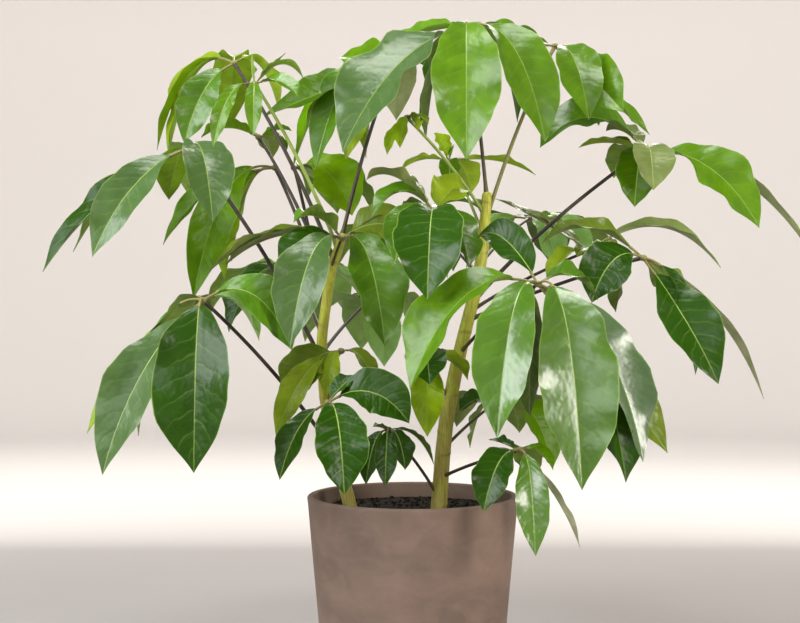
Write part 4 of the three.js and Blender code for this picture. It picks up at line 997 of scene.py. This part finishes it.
def leaflet_mesh(leaflet, ripple, shift):
    """A leaflet's closed blade and its stalk: points, faces, each face's finish, and each
    point's place on the blade (shares, and millimetres shifted by an amount of its own)."""
    s = 0.5 - 0.5 * np.cos(math.pi * np.linspace(0, 1, BLADE_STATIONS + 1)[1:-1])
    half = half_width(leaflet["width"], s)[:, None]
    rib = np.minimum(RIB_HALF / half, RIB_HALF_SHARE)
    out = rib + (1 - rib) * np.array(COLUMNS)
    v = np.hstack([-out[:, ::-1], -rib, 0 * rib, rib, out])
    middle = v.shape[1] // 2
    strays = np.sin(21 * s[:, None] + 3 * ripple[1] - np.sign(v))
    strays = strays + 0.6 * np.sin(39 * s[:, None] - ripple[1] + 2 * np.sign(v))
    surface, normal = blade_points(leaflet, s, v * (1 + RAGGED * ripple[0] * strays * v**2))
    wave = np.sin(17 * s[:, None] + ripple[1] + np.sign(v))
    wave = wave + 0.6 * np.sin(31 * s[:, None] - 2 * ripple[1] + 2 * np.sign(v))
    wave = ripple[0] * wave * np.abs(v) ** 2.5
    surface = surface + normal[:, None] * (half * RIPPLE * wave)[..., None]
    thick = 0.5 * BLADE_THICKNESS * np.sqrt(np.maximum(1 - v**2, 0))
    under = thick.copy()
    under[:, middle] += RIB_DEPTH * (1 - s) ** 0.7 * np.minimum(1, half[:, 0] / 6)
    length = midrib_at(leaflet, [0], [0])[3] * (1 - STALK_SHARE)
    top = surface + normal[:, None] * thick[..., None]
    low = (surface - normal[:, None] * under[..., None])[:, 1:-1]
    first, last = blade_points(leaflet, np.array([0.0, 1.0]), np.array([0.0]))[0][:, 0]
    rows, wide = v.shape
    points = np.vstack([top.reshape(-1, 3), low.reshape(-1, 3), first, last])
    upper = np.arange(rows * wide).reshape(rows, wide)
    lower = np.hstack([
        upper[:, :1], rows * wide + np.arange(rows * (wide - 2)).reshape(rows, wide - 2),
        upper[:, -1:],
    ])
    base, tip = len(points) - 2, len(points) - 1
    faces, finish = [], []
    # Both faces are cut into triangles along the same diagonal, so that they never cross.
    for grid, face_finish, cuts in (
        (upper, UPPER_FINISH, ((0, 3, 2), (0, 2, 1))),
        (lower[:, ::-1], UNDER_FINISH, ((0, 3, 1), (3, 2, 1))),
    ):
        corners = grid[:-1, :-1], grid[:-1, 1:], grid[1:, 1:], grid[1:, :-1]
        halves = [
            corner for cut in cuts
            for corner in np.stack([corners[k] for k in cut], axis=-1).reshape(-1, 3).tolist()
        ]
        first_row, last_row = grid[[0, -1]].tolist()
        ends = [(base, a, b) for a, b in zip(first_row, first_row[1:])]
        ends += [(tip, b, a) for a, b in zip(last_row, last_row[1:])]
        faces += halves + ends
        finish += [face_finish] * (len(halves) + len(ends))
    place = np.stack([np.broadcast_to(s[:, None], v.shape), 0.5 + 0.5 * v], axis=-1)
    flat = np.stack([place[..., 0] * length + shift, v * half], axis=-1)
    ends = np.array([(0, 0.5), (1, 0.5)]), np.array([(shift, 0), (shift + length, 0)])
    places = np.vstack([place.reshape(-1, 2), place[:, 1:-1].reshape(-1, 2), ends[0]])
    flats = np.vstack([flat.reshape(-1, 2), flat[:, 1:-1].reshape(-1, 2), ends[1]])
    shares = np.linspace(0, STALK_SHARE * STALK_UNDER, STALK_RINGS)
    path, _, stalk_up, _ = midrib_at(leaflet, shares, 0 * shares)
    path = path - stalk_up * STALK_SUNK
    swell = STALK_FOOT * np.exp(-((shares / FLARE_SHARE) ** 2))
    swell = swell + STALK_HEAD * np.exp(-(((shares - STALK_SHARE) / FLARE_SHARE) ** 2))
    slim = min(1, leaflet["width"] / WIDE_BLADE) * STALK_RADIUS
    stalk_points, stalk_faces = tube(path, slim * (1 + swell), STALK_SIDES)
    count = len(points)
    faces += [tuple(i + count for i in face) for face in stalk_faces]
    finish += [STALK_FINISH] * len(stalk_faces)
    blank = np.full((len(stalk_points), 2), 0.5)
    return (
        np.vstack([points, stalk_points]), faces, finish, np.vstack([places, blank]),
        np.vstack([flats, blank]),
    )


knob_points, knob_faces = ball(3, KNOB_RADIUS)
knob_points = knob_points * (1, 1, KNOB_FLATTENED)
for number, (leaflets, (_, _, hub, _, frond_tone, rows)) in enumerate(zip(crown, FRONDS), 1):
    size = len(knob_points)
    blank, bare = np.full((size, 2), 0.5), np.zeros((size, 4))
    parts = [(knob_points + hub, blank, blank, bare, bare, np.zeros(size))]
    faces, finish = list(knob_faces), [STALK_FINISH] * len(knob_faces)
    count = size
    for index, (leaflet, row) in enumerate(zip(leaflets, rows)):
        ripple = chance.uniform(0.4, 1), chance.uniform(0, 2 * math.pi)
        points, leaflet_faces, leaflet_finish, place, flat = leaflet_mesh(
            leaflet, ripple, SHIFT_LEAFLET * index + SHIFT_FROND * number
        )
        upper_hex, under_hex, glow, shine = LEAF_TONES[row[6] if len(row) > 6 else frond_tone]
        shade = 1 + TONE_SPREAD * chance.uniform(-1, 1)
        size = len(points)
        upper, under = (
            np.tile([c * shade for c in linear(tone)[:3]] + [glow], (size, 1))
            for tone in (upper_hex, under_hex)
        )
        parts.append((points, place, flat, upper, under, np.full(size, shine)))
        faces += [[i + count for i in face] for face in leaflet_faces]
        finish += leaflet_finish
        count += size
    points, places, flats, upper_tones, under_tones, shines = map(np.concatenate, zip(*parts))
    leaf = piece_from(
        f"umbrella_leaf_{number:02d}", points, faces, [upper_skin, under_skin, stalk_skin], finish
    )
    corner_points = np.empty(len(leaf.data.loops), int)
    leaf.data.loops.foreach_get("vertex_index", corner_points)
    for name, values in (("blade", places), ("blade_mm", flats)):
        layer = leaf.data.uv_layers.new(name=name)
        layer.data.foreach_set("uv", values[corner_points].ravel())
    edge_ends = np.empty(2 * len(leaf.data.edges), int)
    leaf.data.edges.foreach_get("vertices", edge_ends)
    on_margin = np.abs(places[:, 1] - 0.5) > 0.499
    keen = leaf.data.attributes.new("sharp_edge", "BOOLEAN", "EDGE")
    keen.data.foreach_set("value", on_margin[edge_ends].reshape(-1, 2).all(axis=1))
    mark_points(leaf, "upper_tone", upper_tones)
    mark_points(leaf, "under_tone", under_tones)
    mark_points(leaf, "leaf_shine", shines)
    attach(leaf, "root")
    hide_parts(f"leaf_{number:02d}")

# ---- Size ----
# The dressed plant's box, in metres, without the backdrop.

low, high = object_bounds()
